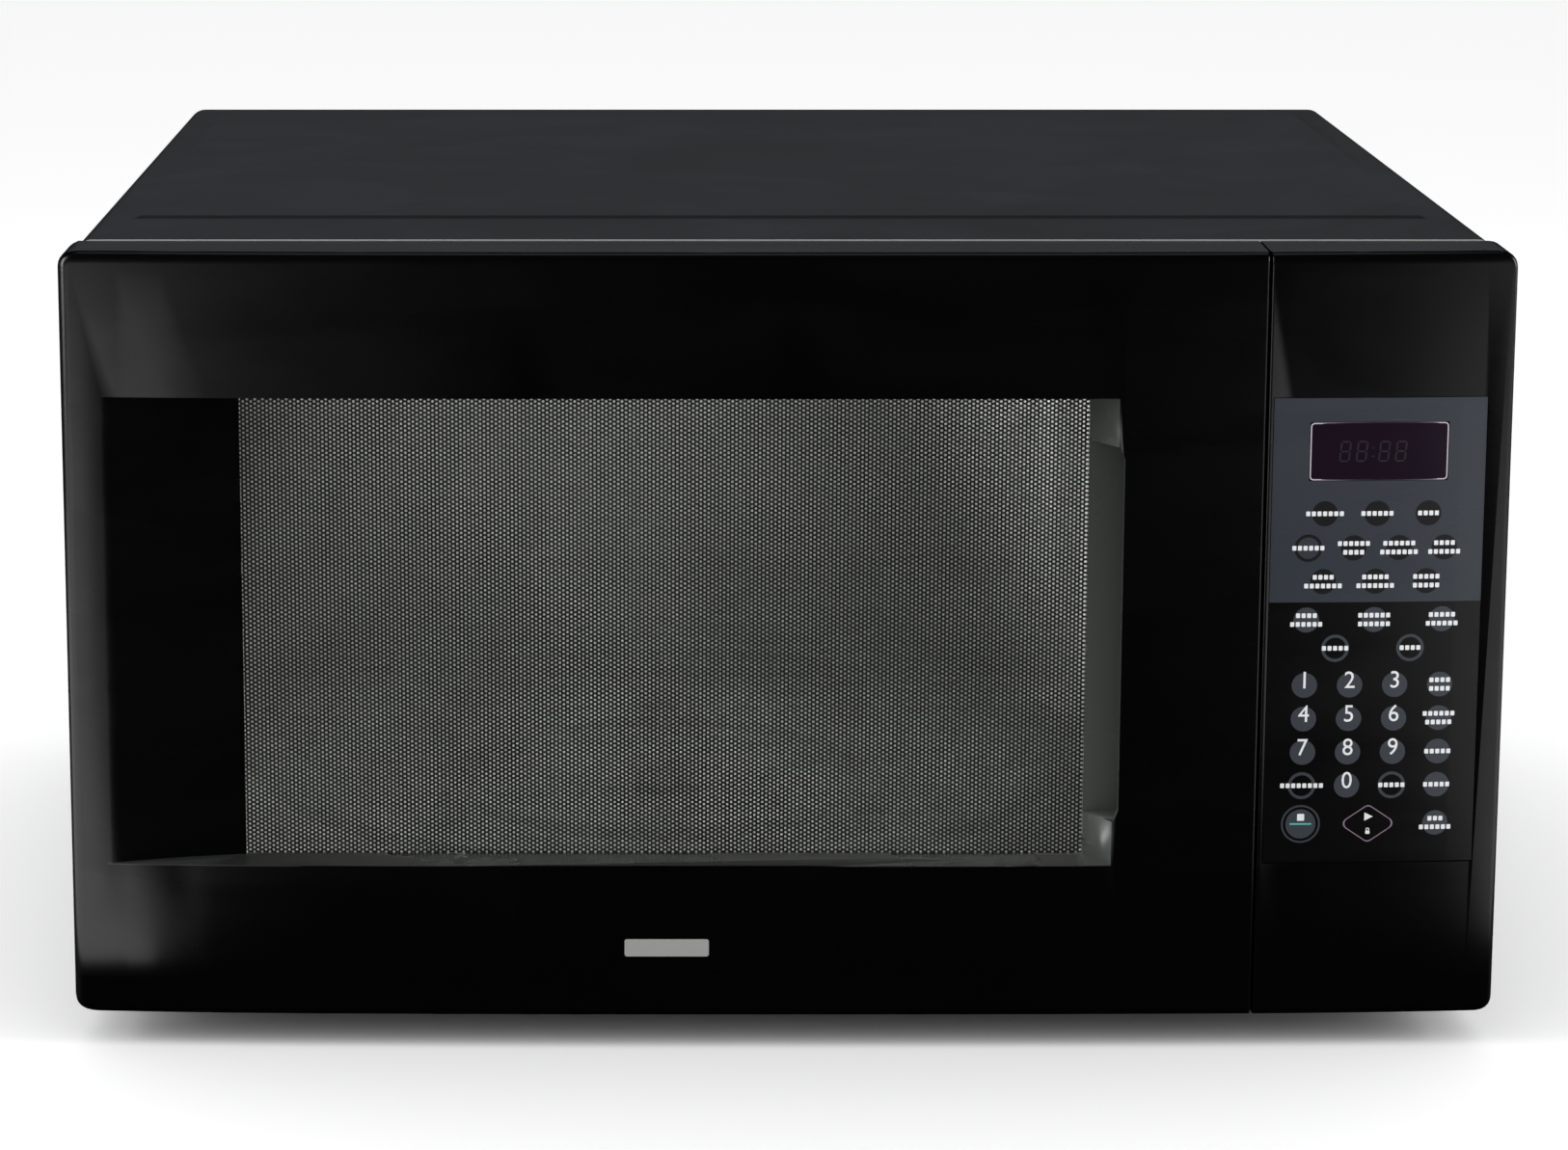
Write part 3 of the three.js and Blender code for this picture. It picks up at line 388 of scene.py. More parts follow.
materials = dict(
    fascia_plastic=fasciaPlastic("fascia_plastic", (0.0005, 0.0005, 0.0006)),
    panel_plastic=plastic("panel_plastic", (0.0005, 0.0005, 0.0006), 0.25, 0.3, 1500, 0.012, 0.0),
    cabinet_paint=paint("cabinet_paint", (0.0105, 0.013, 0.0148), 0.36, 0.42, 650, 0.1, 0.0),
    zinc_steel=metal("zinc_steel", (0.56, 0.56, 0.54), 0.3, 0.5),
    cavity_enamel=paint("cavity_enamel", (0.66, 0.66, 0.63), 0.3, 0.42, 500, 0.08, 0.0),
    mica=plastic("mica", (0.52, 0.45, 0.32), 0.6, 0.8, 200, 0.3, 0.0, 0.3),
    magnetron_metal=metal("magnetron_metal", (0.5, 0.5, 0.48), 0.28, 0.42),
    core_steel=metal("core_steel", (0.16, 0.14, 0.12), 0.45, 0.65, 0.4),
    copper_winding=winding("copper_winding"),
    aluminium_can=metal("aluminium_can", (0.62, 0.63, 0.64), 0.25, 0.38),
    black_plastic=plastic("black_plastic", (0.012, 0.012, 0.013), 0.42, 0.55, 700, 0.15),
    grey_plastic=plastic("grey_plastic", (0.15, 0.17, 0.18), 0.42, 0.55, 700, 0.15),
    white_plastic=plastic("white_plastic", (0.62, 0.60, 0.55), 0.4, 0.52, 700, 0.1, 0.0, 0.05),
    clear_glass=clear("clear_glass", (0.9, 0.96, 0.94), 0.02, 0.05, 0.9, 0.35),
    window_plastic=clear("window_plastic", (0.004, 0.004, 0.004), 0.05, 0.08, 0.0, 0.3, 1.49),
    screen_metal=plastic("screen_metal", (0.018, 0.018, 0.018), 0.5, 0.6, 900, 0.1),
    circuit_board=plastic("circuit_board", (0.02, 0.12, 0.05), 0.35, 0.5, 300, 0.2, 0.0, 0.3),
    overlay_film=overlayFilm("overlay_film"),
    display_plastic=plastic("display_plastic", (0.0075, 0.0035, 0.0085), 0.1, 0.14, 1500, 0.01),
    badge_metal=paint("badge_metal", (0.27, 0.27, 0.26), 0.3, 0.4, 900, 0.05, 0.0),
    rubber=plastic("rubber", (0.012, 0.012, 0.012), 0.7, 0.85, 500, 0.4),
    # painted highlight: pale grey for the bead along the cabinet's front edge, standing in for the bright line of
    # light there
    hem_steel=paint("hem_steel", (0.42, 0.43, 0.43), 0.25, 0.35, 900, 0.03, 0.0),
    spring_steel=metal("spring_steel", (0.5, 0.5, 0.52), 0.2, 0.3),
    letter_ink=ink("letter_ink", (0.60, 0.61, 0.63)),
    key_blue_ink=ink("key_blue_ink", (0.030, 0.036, 0.047)),
    key_black_ink=ink("key_black_ink", (0.0045, 0.0045, 0.005)),
    lilac_ink=ink("lilac_ink", (0.2, 0.13, 0.19)),
    border_ink=ink("border_ink", (0.44, 0.38, 0.43)),
    teal_ink=ink("teal_ink", (0.05, 0.36, 0.33)),
    segment_ink=ink("segment_ink", (0.013, 0.008, 0.016)),
)
print("finishes ready")


# ---- mesh helpers ----

def addPiece(name, mesh, body, slot, covers=(), material=None):
    piece = bpy.data.objects.new(name, mesh)
    scene.collection.objects.link(piece)
    mesh.materials.clear()
    mesh.materials.append(materials[material or slot])
    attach(piece, body)
    if covers:
        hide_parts(*covers)
    return piece


def bodyOf(node):
    return nodes[node]["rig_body"]


def slotOf(node):
    return next(s["material_slot"] for s in frame["record"]["subparts"] if s["node"] == node)


def meshFromBm(name, bm):
    mesh = bpy.data.meshes.new(name)
    bm.to_mesh(mesh)
    bm.free()
    return mesh


def settle(piece):
    # turns a finished modifier stack into a plain mesh
    bpy.context.view_layer.update()
    graph = bpy.context.evaluated_depsgraph_get()
    ready = piece.evaluated_get(graph)
    mesh = bpy.data.meshes.new_from_object(ready, preserve_all_data_layers=True, depsgraph=graph)
    old = piece.data
    name = piece.name
    bpy.data.objects.remove(piece)
    bpy.data.meshes.remove(old)
    mesh.name = name
    return mesh


def smoothMesh(mesh, angle=32):
    mesh.polygons.foreach_set("use_smooth", [True] * len(mesh.polygons))
    mesh.set_sharp_from_angle(angle=math.radians(angle))


def weldedCopy(node, flatten=True):
    # a CAD node is loose triangles: weld a copy and, unless its faces have holes, take out the flat diagonals
    bm = bmesh.new()
    bm.from_mesh(nodes[node].data)
    bmesh.ops.remove_doubles(bm, verts=bm.verts, dist=2e-6)
    if flatten:
        bmesh.ops.dissolve_limit(bm, angle_limit=math.radians(0.05), verts=bm.verts, edges=bm.edges)
    return meshFromBm(node + "_weld", bm)


def finishNode(node, round=0.5, segments=2, angle=30, name=None, material=None):
    # the CAD shape with its edges rounded, standing for the CAD node
    mesh = weldedCopy(node, round > 0)
    smoothMesh(mesh, angle)
    name = name or node + "_finish"
    work = bpy.data.objects.new(name, mesh)
    scene.collection.objects.link(work)
    if round > 0:
        bevel = work.modifiers.new("round", "BEVEL")
        bevel.width = round * mm
        bevel.segments = segments
        bevel.limit_method = "ANGLE"
        bevel.angle_limit = math.radians(angle)
        bevel.use_clamp_overlap = True
        bevel.harden_normals = True
        bevel.miter_outer = "MITER_ARC"
    else:
        even = work.modifiers.new("even", "WEIGHTED_NORMAL")  # flat faces keep their own shade
        even.weight = 100
        even.keep_sharp = True
    plain = settle(work)
    return addPiece(name, plain, bodyOf(node), slotOf(node), (node,), material)


# ---- fascia shape, the same rule as the frame's ----

fascia = dict(half=303.0, apex=-249.4, bow=2.5, roll=3.5)


def frontY(x):
    share = abs(x) / fascia["half"]
    return fascia["apex"] + fascia["bow"] * share ** 2 + fascia["roll"] * share ** 6


rounding = {  # nought keeps the CAD edges, on sheets and frames with holes in their faces
    "door_frame": dict(round=0, angle=24),
    "control_panel_frame": dict(round=0, angle=24),
    "outer_cabinet": dict(round=0, angle=24),
    "rear_panel": dict(round=0),
    "base_plate": dict(round=0),
    "front_plate": dict(round=0),
    "cavity": dict(round=0),
    "badge": dict(round=0.35, segments=3),
    "door_window": dict(round=0.3, segments=2),
    "keypad_overlay": dict(round=0.15, segments=2),
    "display_lens": dict(round=0.25, segments=3),
    "choke_cover": dict(round=0.5, segments=2),
}
skipped = ("door_screen", "latch_spring", "glass_tray")

for node in nodes:
    if node not in skipped:
        finishNode(node, **rounding.get(node, {}))
print("cad pieces rounded")


# ---- door screen: a perforated sheet ----

screen = dict(left=-233.0, bottom=77.5, columns=220, rows=109, pitchX=1.66, pitchZ=1.917, hole=0.56,
    y=-228.75, rimBack=-228.35, merge=0.01)


def holeTile():
    # one hexagonal hole with the web that joins it to three of its neighbours
    reach = screen["hole"] / math.cos(math.radians(30))
    px, pz = screen["pitchX"], screen["pitchZ"]
    corner = {a: Vector((reach * math.cos(math.radians(a)), 0, reach * math.sin(math.radians(a))))
        for a in range(0, 360, 60)}
    right = Vector((px, 0, pz / 2))
    lowRight = Vector((px, 0, -pz / 2))
    above = Vector((0, 0, pz))
    faces = [
        (corner[60], above + corner[300], above + corner[240], corner[120]),
        (corner[0], right + corner[240], right + corner[180], corner[60]),
        (corner[300], lowRight + corner[180], lowRight + corner[120], corner[0]),
        (corner[0], lowRight + corner[120], right + corner[240]),
        (corner[60], right + corner[180], above + corner[300]),
    ]
    bm = bmesh.new()
    for face in faces:
        bm.faces.new([bm.verts.new(point * mm) for point in face])
    bmesh.ops.remove_doubles(bm, verts=bm.verts, dist=1e-6)
    tile = bpy.data.objects.new("hole_tile", meshFromBm("hole_tile", bm))
    scene.collection.objects.link(tile)
    return tile


def newGeometryTree(name, inputs):
    tree = bpy.data.node_groups.new(name, "GeometryNodeTree")
    tree.interface.new_socket(name="Geometry", in_out="INPUT", socket_type="NodeSocketGeometry")
    for label, kind in inputs:
        tree.interface.new_socket(name=label, in_out="INPUT", socket_type=kind)
    tree.interface.new_socket(name="Geometry", in_out="OUTPUT", socket_type="NodeSocketGeometry")
    start = tree.nodes.new("NodeGroupInput")
    end = tree.nodes.new("NodeGroupOutput")
    return tree, start, end


def setInputs(modifier, values):
    for item in modifier.node_group.interface.items_tree:
        if item.item_type == "SOCKET" and item.in_out == "INPUT" and item.name in values:
            modifier[item.identifier] = values[item.name]


def finishTree(tree, geometry, end, material):
    # every tree ends in real geometry with its material
    realize = addNode(tree, "GeometryNodeRealizeInstances")
    tree.links.new(geometry, realize.inputs[0])
    setMaterial = addNode(tree, "GeometryNodeSetMaterial")
    tree.links.new(realize.outputs[0], setMaterial.inputs["Geometry"])
    tree.links.new(material, setMaterial.inputs["Material"])
    tree.links.new(setMaterial.outputs[0], end.inputs[0])


def perforationTree():
    tree, start, end = newGeometryTree("perforatedSheet", [
        ("Columns", "NodeSocketInt"), ("Rows", "NodeSocketInt"), ("Pitch X", "NodeSocketFloat"),
        ("Pitch Z", "NodeSocketFloat"), ("Corner", "NodeSocketVector"), ("Tile", "NodeSocketObject"),
        ("Material", "NodeSocketMaterial")])
    given = start.outputs
    index = addNode(tree, "GeometryNodeInputIndex").outputs[0]
    share = mathNode(tree, "DIVIDE", mathNode(tree, "ADD", index, 0.5), given["Rows"])
    column = mathNode(tree, "FLOOR", share)
    line = mathNode(tree, "SUBTRACT", index, mathNode(tree, "MULTIPLY", column, given["Rows"]))
    odd = mathNode(tree, "MODULO", column, 2)
    across = mathNode(tree, "MULTIPLY", column, given["Pitch X"])
    stagger = mathNode(tree, "ADD", line, mathNode(tree, "MULTIPLY", odd, 0.5))
    lift = mathNode(tree, "MULTIPLY", stagger, given["Pitch Z"])
    offset = addNode(tree, "ShaderNodeCombineXYZ")
    tree.links.new(across, offset.inputs["X"])
    tree.links.new(lift, offset.inputs["Z"])
    place = addNode(tree, "ShaderNodeVectorMath", operation="ADD")
    tree.links.new(offset.outputs[0], place.inputs[0])
    tree.links.new(given["Corner"], place.inputs[1])
    points = addNode(tree, "GeometryNodePoints")
    tree.links.new(mathNode(tree, "MULTIPLY", given["Columns"], given["Rows"]), points.inputs["Count"])
    tree.links.new(place.outputs[0], points.inputs["Position"])
    tile = addNode(tree, "GeometryNodeObjectInfo")
    tree.links.new(given["Tile"], tile.inputs[0])
    spread = addNode(tree, "GeometryNodeInstanceOnPoints")
    tree.links.new(points.outputs[0], spread.inputs["Points"])
    tree.links.new(tile.outputs["Geometry"], spread.inputs["Instance"])
    finishTree(tree, spread.outputs[0], end, given["Material"])
    return tree


def runTree(name, tree, values, mesh=None):
    work = bpy.data.objects.new(name, mesh or bpy.data.meshes.new(name))
    scene.collection.objects.link(work)
    modifier = work.modifiers.new("make", "NODES")
    modifier.node_group = tree
    setInputs(modifier, values)
    return settle(work)


def boxMesh(name, corners):
    # several closed boxes in one mesh, each given as x, y and z limits
    bm = bmesh.new()
    for x0, x1, y0, y1, z0, z1 in corners:
        size = Matrix.Diagonal(((x1 - x0) * mm, (y1 - y0) * mm, (z1 - z0) * mm, 1))
        middle = Matrix.Translation(Vector((x0 + x1, y0 + y1, z0 + z1)) * mm / 2)
        bmesh.ops.create_cube(bm, size=1, matrix=middle @ size)
    return meshFromBm(name, bm)


def makeScreen():
    tile = holeTile()
    mesh = runTree("door_screen_holes", perforationTree(), {
        "Columns": screen["columns"], "Rows": screen["rows"], "Pitch X": screen["pitchX"] * mm,
        "Pitch Z": screen["pitchZ"] * mm, "Tile": tile, "Material": materials["screen_metal"],
        "Corner": Vector((screen["left"], screen["y"], screen["bottom"])) * mm})
    bpy.data.objects.remove(tile)
    bm = bmesh.new()
    bm.from_mesh(mesh)
    bmesh.ops.remove_doubles(bm, verts=bm.verts, dist=screen["merge"] * mm)
    bm.to_mesh(mesh)
    bm.free()
    addPiece("door_screen_holes", mesh, "door", "screen_metal", ("door_screen",))
    low, high = (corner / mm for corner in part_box("door_screen"))
    right = screen["left"] + (screen["columns"] - 1) * screen["pitchX"]
    top = screen["bottom"] + (screen["rows"] - 1) * screen["pitchZ"]
    y0, y1 = screen["y"] + 0.05, screen["rimBack"]
    rim = boxMesh("door_screen_rim", [
        (low.x, screen["left"], y0, y1, low.z, high.z), (right, high.x, y0, y1, low.z, high.z),
        (screen["left"] - 0.1, right + 0.1, y0, y1, low.z, screen["bottom"]),
        (screen["left"] - 0.1, right + 0.1, y0, y1, top, high.z)])
    addPiece("door_screen_rim", rim, "door", "screen_metal")
    print("screen holes", screen["columns"] * screen["rows"])


makeScreen()


# ---- keypad print ----

def overlayY(x):
    return frontY(x) + 0.3


def inkSlab(bm, loops, y=overlayY, proud=None, step=0.02):
    # closed slab whose outline follows the overlay; two loops make a ring
    proud = proud or keypad["inkProud"]
    rings = []
    for loop in loops:
        front = [bm.verts.new(Vector((x, y(x) - proud, z)) * mm) for x, z in loop]
        back = [bm.verts.new(Vector((x, y(x) + step, z)) * mm) for x, z in loop]
        rings.append((front, back))
    count = len(loops[0])
    outerFront, outerBack = rings[0]
    if len(rings) == 1:
        bm.faces.new(outerFront)
        bm.faces.new(outerBack[::-1])
    for i in range(count):
        j = (i + 1) % count
        bm.faces.new((outerFront[j], outerFront[i], outerBack[i], outerBack[j]))
        if len(rings) == 2:
            innerFront, innerBack = rings[1]
            bm.faces.new((outerFront[i], outerFront[j], innerFront[j], innerFront[i]))
            bm.faces.new((innerFront[i], innerFront[j], innerBack[j], innerBack[i]))
            bm.faces.new((innerBack[i], innerBack[j], outerBack[j], outerBack[i]))


def circle(x, z, radius, count=28):
    return [(x + radius * math.cos(2 * math.pi * i / count), z + radius * math.sin(2 * math.pi * i / count))
        for i in range(count)]


def softBox(x0, x1, z0, z1, radius, steps=5):
    loop = []
    for cx, cz, start in ((x1 - radius, z0 + radius, -90), (x1 - radius, z1 - radius, 0),
            (x0 + radius, z1 - radius, 90), (x0 + radius, z0 + radius, 180)):
        for i in range(steps + 1):
            angle = math.radians(start + 90 * i / steps)
            loop.append((cx + radius * math.cos(angle), cz + radius * math.sin(angle)))
    return loop


def diamond(x, z, halfWide, halfHigh, radius=2.4, steps=5):
    # rounded diamond: a corner arc at each of the four points
    slope = math.atan2(halfHigh, halfWide)
    loop = []
    for base, reach, spread in ((0, halfWide, math.pi / 2 - slope), (90, halfHigh, slope),
            (180, halfWide, math.pi / 2 - slope), (270, halfHigh, slope)):
        middle = math.radians(base)
        inset = reach - radius / math.cos(spread)
        for i in range(steps + 1):
            angle = middle - spread + 2 * spread * i / steps
            loop.append((x + inset * math.cos(middle) + radius * math.cos(angle),
                z + inset * math.sin(middle) + radius * math.sin(angle)))
    return loop


def addInk(name, slabs, material, slot="overlay_film", body="cabinet", y=overlayY, proud=None):
    bm = bmesh.new()
    for loops in slabs:
        inkSlab(bm, loops, y, proud)
    bmesh.ops.recalc_face_normals(bm, faces=bm.faces)
    return addPiece(name, meshFromBm(name, bm), body, slot, (), material)


def textMesh(words):
    # digits one unit high, a little proud of their own plane
    curve = bpy.data.curves.new("words", "FONT")
    curve.body = words
    curve.align_x = "CENTER"
    curve.extrude = 0.005
    curve.resolution_u = 3
    work = bpy.data.objects.new("words", curve)
    scene.collection.objects.link(work)
    bpy.context.view_layer.update()
    graph = bpy.context.evaluated_depsgraph_get()
    mesh = bpy.data.meshes.new_from_object(work.evaluated_get(graph), depsgraph=graph)
    bpy.data.objects.remove(work)
    bpy.data.curves.remove(curve)
    return mesh


def addLetters(name, labels, material):
    # labels are (digit, centre x, baseline z, size, stretch)
    bm = bmesh.new()
    for words, x, z, size, stretch in labels:
        mesh = textMesh(words)
        low = min(v.co.x for v in mesh.vertices)
        high = max(v.co.x for v in mesh.vertices)
        for v in mesh.vertices:
            across = x + (v.co.x - (low + high) / 2) * size * stretch
            inward = overlayY(across) - keypad["inkProud"] - v.co.z * size
            v.co = Vector((across, inward, z + v.co.y * size)) * mm
        bm.from_mesh(mesh)
        bpy.data.meshes.remove(mesh)
    return addPiece(name, meshFromBm(name, bm), "cabinet", "overlay_film", (), material)


functionKeys = [  # stroke count of each line, column x, row z, style
    ((7,), 225.0, 233.6, "disc"), ((6,), 247.0, 233.6, "disc"), ((4,), 268.5, 233.6, "disc"),
    ((6,), 218.4, 218.9, "ring"), ((6, 4), 237.5, 218.9, "disc"),
    ((6, 7), 256.6, 218.9, "disc"), ((4, 6), 275.7, 218.9, "disc"),
    ((4, 7), 225.0, 204.5, "disc"), ((5, 7), 247.0, 204.5, "disc"), ((5, 5), 268.5, 204.5, "disc"),
    ((4, 6), 218.4, 188.0, "disc"), ((6, 6), 247.0, 188.0, "disc"), ((5, 6), 275.7, 188.0, "disc"),
    ((5,), 230.9, 175.7, "ring"), ((4,), 262.6, 175.7, "ring"),
    ((4, 4), 275.7, 159.7, "disc"), ((6, 5), 275.7, 145.1, "disc"),
    ((5,), 275.7, 130.5, "disc"), ((5,), 275.7, 116.0, "disc"),
    ((8,), 218.4, 116.0, "ring"), ((5,), 256.6, 116.0, "ring"), ((3, 6), 275.7, 99.2, "disc"),
]
digitKeys = [(str(3 * r + c + 1), keypad["columns"][c], z) for r, z in enumerate((159.7, 145.1, 130.5))
    for c in range(3)] + [("0", 237.5, 116.0)]


def makeKeypad():
    disc = keypad["disc"]
    inner, outer = keypad["ring"]
    upper = [k for k in functionKeys if k[2] > keypad["splitZ"]]
    lower = [k for k in functionKeys if k[2] < keypad["splitZ"]]
    discs = lambda keys: [[circle(x, z, disc)] for _, x, z, style in keys if style == "disc"]
    rings = lambda keys: [[circle(x, z, outer), circle(x, z, inner)]
        for _, x, z, style in keys if style == "ring"]
    stop = (218.4, 99.2)
    start = (247.0, 99.2)
    addInk("key_discs_upper", discs(upper) + rings(upper), "key_black_ink", proud=0.02)
    addInk("key_discs_lower", discs(lower) + rings(lower) + [[circle(x, z, disc)] for _, x, z in digitKeys]
        + [[circle(*stop, 6.4, 36)], [circle(*stop, 8.3, 36), circle(*stop, 7.5, 36)]], "key_blue_ink", proud=0.02)
    addInk("start_outline", [[diamond(*start, 12.4, 8.5), diamond(*start, 11.8, 8.0)]], "lilac_ink")
    underline = softBox(stop[0] - 4.6, stop[0] + 4.6, stop[1] - 0.35, stop[1] + 0.35, 0.2)
    addInk("stop_underline", [[underline]], "teal_ink")
    lockX, lockZ = start[0], start[1] - 3.4
    addInk("start_lock", [
        [softBox(lockX - 0.9, lockX + 0.9, lockZ - 1.2, lockZ + 0.3, 0.3)],
        [softBox(lockX - 0.75, lockX + 0.75, lockZ + 0.1, lockZ + 1.5, 0.6),
            softBox(lockX - 0.4, lockX + 0.4, lockZ + 0.1, lockZ + 1.15, 0.35)]], "letter_ink")
    strokes = []
    pitch, gap, high = keypad["strokePitch"], keypad["strokeGap"], keypad["strokeHigh"]
    for counts, x, z, _ in functionKeys:
        for i, count in enumerate(counts):
            middle = z + ((len(counts) - 1) / 2 - i) * keypad["line"]
            for k in range(count):
                left = x + (k - count / 2) * pitch + gap / 2
                strokes.append([softBox(left, left + pitch - gap, middle - high / 2, middle + high / 2, 0.3)])
    side = keypad["symbol"]
    strokes.append([softBox(stop[0] - side, stop[0] + side, stop[1] + 1.4, stop[1] + 1.4 + 2 * side, 0.3)])
    play = (start[0] - side, start[1] + 1.2)
    strokes.append([[play, (play[0] + 2.4 * side, play[1] + 1.2 * side), (play[0], play[1] + 2.4 * side)]])
    addInk("key_strokes", strokes, "letter_ink")
    drop, narrow = keypad["digitDrop"], keypad["digitNarrow"]
    digits = [(digit, x, z - drop, keypad["digit"], narrow) for digit, x, z in digitKeys]
    addLetters("key_digits", digits, "letter_ink")


def lensY(x):
    return frontY(x) + 0.3


def makeDisplay():
    border = dict(left=218.1, right=275.9, bottom=247.9, top=272.3, line=0.45)
    outer = softBox(border["left"], border["right"], border["bottom"], border["top"], 1.6)
    line = border["line"]
    inner = softBox(border["left"] + line, border["right"] - line,
        border["bottom"] + line, border["top"] - line, 1.2)
    addInk("display_border", [[outer, inner]], "border_ink", "display_plastic")
    slabs = []
    digit = dict(wide=4.6, high=9.0, stroke=0.75, bottom=255.6, slant=0.1)

    def bar(x0, x1, z0, z1):
        lean = lambda x, z: (x + (z - digit["bottom"]) * digit["slant"], z)
        slabs.append([[lean(x0, z0), lean(x1, z0), lean(x1, z1), lean(x0, z1)]])

    for left in (230.0, 237.0, 246.4, 253.4):
        right = left + digit["wide"]
        bottom, top = digit["bottom"], digit["bottom"] + digit["high"]
        middle, s = (bottom + top) / 2, digit["stroke"]
        for z in (bottom, middle - s / 2, top - s):
            bar(left + s, right - s, z, z + s)
        for x in (left, right - s):
            bar(x, x + s, bottom + s, middle - s / 2)
            bar(x, x + s, middle + s / 2, top - s)
    for z in (258.0, 261.6):
        slabs.append([circle(244.3, z, 0.45, 12)])
    addInk("display_segments", slabs, "segment_ink", "display_plastic", y=lensY, proud=0.02)


makeKeypad()
makeDisplay()
print("control face printed")


# ---- tray and spring, which need more turns than a rounded copy gives ----

def latheMesh(name, profile, centre, count):
    bm = bmesh.new()
    rings = []
    for radius, z in profile:
        if radius == 0:
            rings.append([bm.verts.new(Vector((centre[0], centre[1], z)) * mm)])
            continue
        rings.append([bm.verts.new(Vector((centre[0] + radius * math.cos(2 * math.pi * i / count),
            centre[1] + radius * math.sin(2 * math.pi * i / count), z)) * mm) for i in range(count)])
    for low, high in zip(rings, rings[1:]):
        for i in range(count):
            j = (i + 1) % count
            corners = [low[i % len(low)], low[j % len(low)], high[j % len(high)], high[i % len(high)]]
            unique = list(dict.fromkeys(corners))
            if len(unique) > 2:
                bm.faces.new(unique)
    bmesh.ops.recalc_face_normals(bm, faces=bm.faces)
    mesh = meshFromBm(name, bm)
    smoothMesh(mesh, 40)
    return mesh


def makeTray():
    low, high = (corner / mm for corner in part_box("glass_tray"))
    radius = (high.x - low.x) / 2
    centre = ((high.x + low.x) / 2, (high.y + low.y) / 2)
    z0, z1 = low.z, high.z
    profile = [(0, z0 + 0.8), (18, z0 + 0.8), (20, z0), (96, z0), (98, z0 + 0.5), (124, z0 + 0.5), (126, z0),
        (radius - 12, z0), (radius - 9, z0 + 0.4), (radius - 4, z0 + 4.5), (radius - 0.8, z0 + 8.2),
        (radius, z1 - 1.6),
        (radius - 0.3, z1 - 0.5), (radius - 1.1, z1), (radius - 2.1, z1 - 0.2), (radius - 3.4, z1 - 1.8),
        (radius - 7.5, z0 + 6.6), (radius - 12, z0 + 4.1), (radius - 18, z0 + 3.5), (60, z0 + 3.4), (58, z0 + 3.9),
        (56, z0 + 3.4), (0, z0 + 3.4)]
    addPiece("glass_tray_finish", latheMesh("glass_tray_finish", profile, centre, 128), "tray", "clear_glass",
        ("glass_tray",))


def makeSpring():
    low, high = (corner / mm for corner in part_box("latch_spring"))
    wire = 0.5
    radius = (high.x - low.x) / 2 - wire
    centre = Vector(((low.x + high.x) / 2, (low.y + high.y) / 2, 0))
    turns, sides, steps = 7, 8, 24
    total = turns * steps
    bm = bmesh.new()
    rings = []
    for i in range(total + 1):
        angle = 2 * math.pi * i / steps
        z = low.z + wire + (high.z - low.z - 2 * wire) * i / total
        out = Vector((math.cos(angle), math.sin(angle), 0))
        middle = centre + out * radius + Vector((0, 0, z))
        rings.append([bm.verts.new((middle + out * wire * math.cos(2 * math.pi * k / sides)
            + Vector((0, 0, wire * math.sin(2 * math.pi * k / sides)))) * mm) for k in range(sides)])
    for a, b in zip(rings, rings[1:]):
        for k in range(sides):
            n = (k + 1) % sides
            bm.faces.new((a[k], a[n], b[n], b[k]))
    bm.faces.new(rings[0])
    bm.faces.new(rings[-1][::-1])
    bmesh.ops.recalc_face_normals(bm, faces=bm.faces)
    mesh = meshFromBm("latch_spring_finish", bm)
    smoothMesh(mesh, 60)
    addPiece("latch_spring_finish", mesh, "door", "spring_steel", ("latch_spring",))


makeTray()
makeSpring()
print("turned pieces ready")


# ---- bright hem round the cabinet's front edge: a pale bead whose colour is a painted highlight on the black edge ----

hem = dict(front=-214.4, back=-213.2, grow=0.25, deep=0.6, bottom=24.0, radius=8.0, steps=8, below=1.0)


def makeHem():
    low, high = (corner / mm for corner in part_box("outer_cabinet"))
    half, top, radius, steps = high.x, high.z - hem["below"], hem["radius"], hem["steps"]
    outline = [(-half, hem["bottom"])]
    for cx, start in ((-half + radius, 180), (half - radius, 90)):
        for i in range(steps + 1):
            angle = math.radians(start - 90 * i / steps)
            outline.append((cx + radius * math.cos(angle), top - radius + radius * math.sin(angle)))
    outline.append((half, hem["bottom"]))
    bm = bmesh.new()
    rings = []
    for i, (x, z) in enumerate(outline):
        before = Vector(outline[max(i - 1, 0)])
        after = Vector(outline[min(i + 1, len(outline) - 1)])
        along = (after - before).normalized()
        out = Vector((-along.y, along.x))
        corners = [(hem["grow"], hem["front"]), (hem["grow"], hem["back"]), (-hem["deep"], hem["back"]),
            (-hem["deep"], hem["front"])]
        rings.append([bm.verts.new(Vector((x + out.x * d, y, z + out.y * d)) * mm) for d, y in corners])
    for a, b in zip(rings, rings[1:]):
        for k in range(4):
            n = (k + 1) % 4
            bm.faces.new((a[k], a[n], b[n], b[k]))
    bm.faces.new(rings[0])
    bm.faces.new(rings[-1])
    bmesh.ops.recalc_face_normals(bm, faces=bm.faces)
    mesh = meshFromBm("cabinet_hem", bm)
    smoothMesh(mesh, 30)
    # painted highlight: the bead takes a pale colour so that the black edge reads as lit
    addPiece("cabinet_hem", mesh, "cabinet", "zinc_steel", (), "hem_steel")


makeHem()


# ---- screws ----

screw = dict(radius=3.6, height=1.7, slotWide=0.9, slotLong=2.3, slotDeep=0.9)


def screwTemplate():
    # domed head with a round pit in its top, its axis along +Z
    r, h = screw["radius"], screw["height"]
    profile = [(0, h - screw["slotDeep"]), (0.9, h - screw["slotDeep"]), (1.3, h * 0.98), (r * 0.6, h * 0.93),
        (r * 0.85, h * 0.72), (r * 0.97, h * 0.4), (r, 0.0), (0, 0.0)]
    mesh = latheMesh("screw_template", profile, (0, 0), 16)
    work = bpy.data.objects.new("screw_template", mesh)
    scene.collection.objects.link(work)
    return work


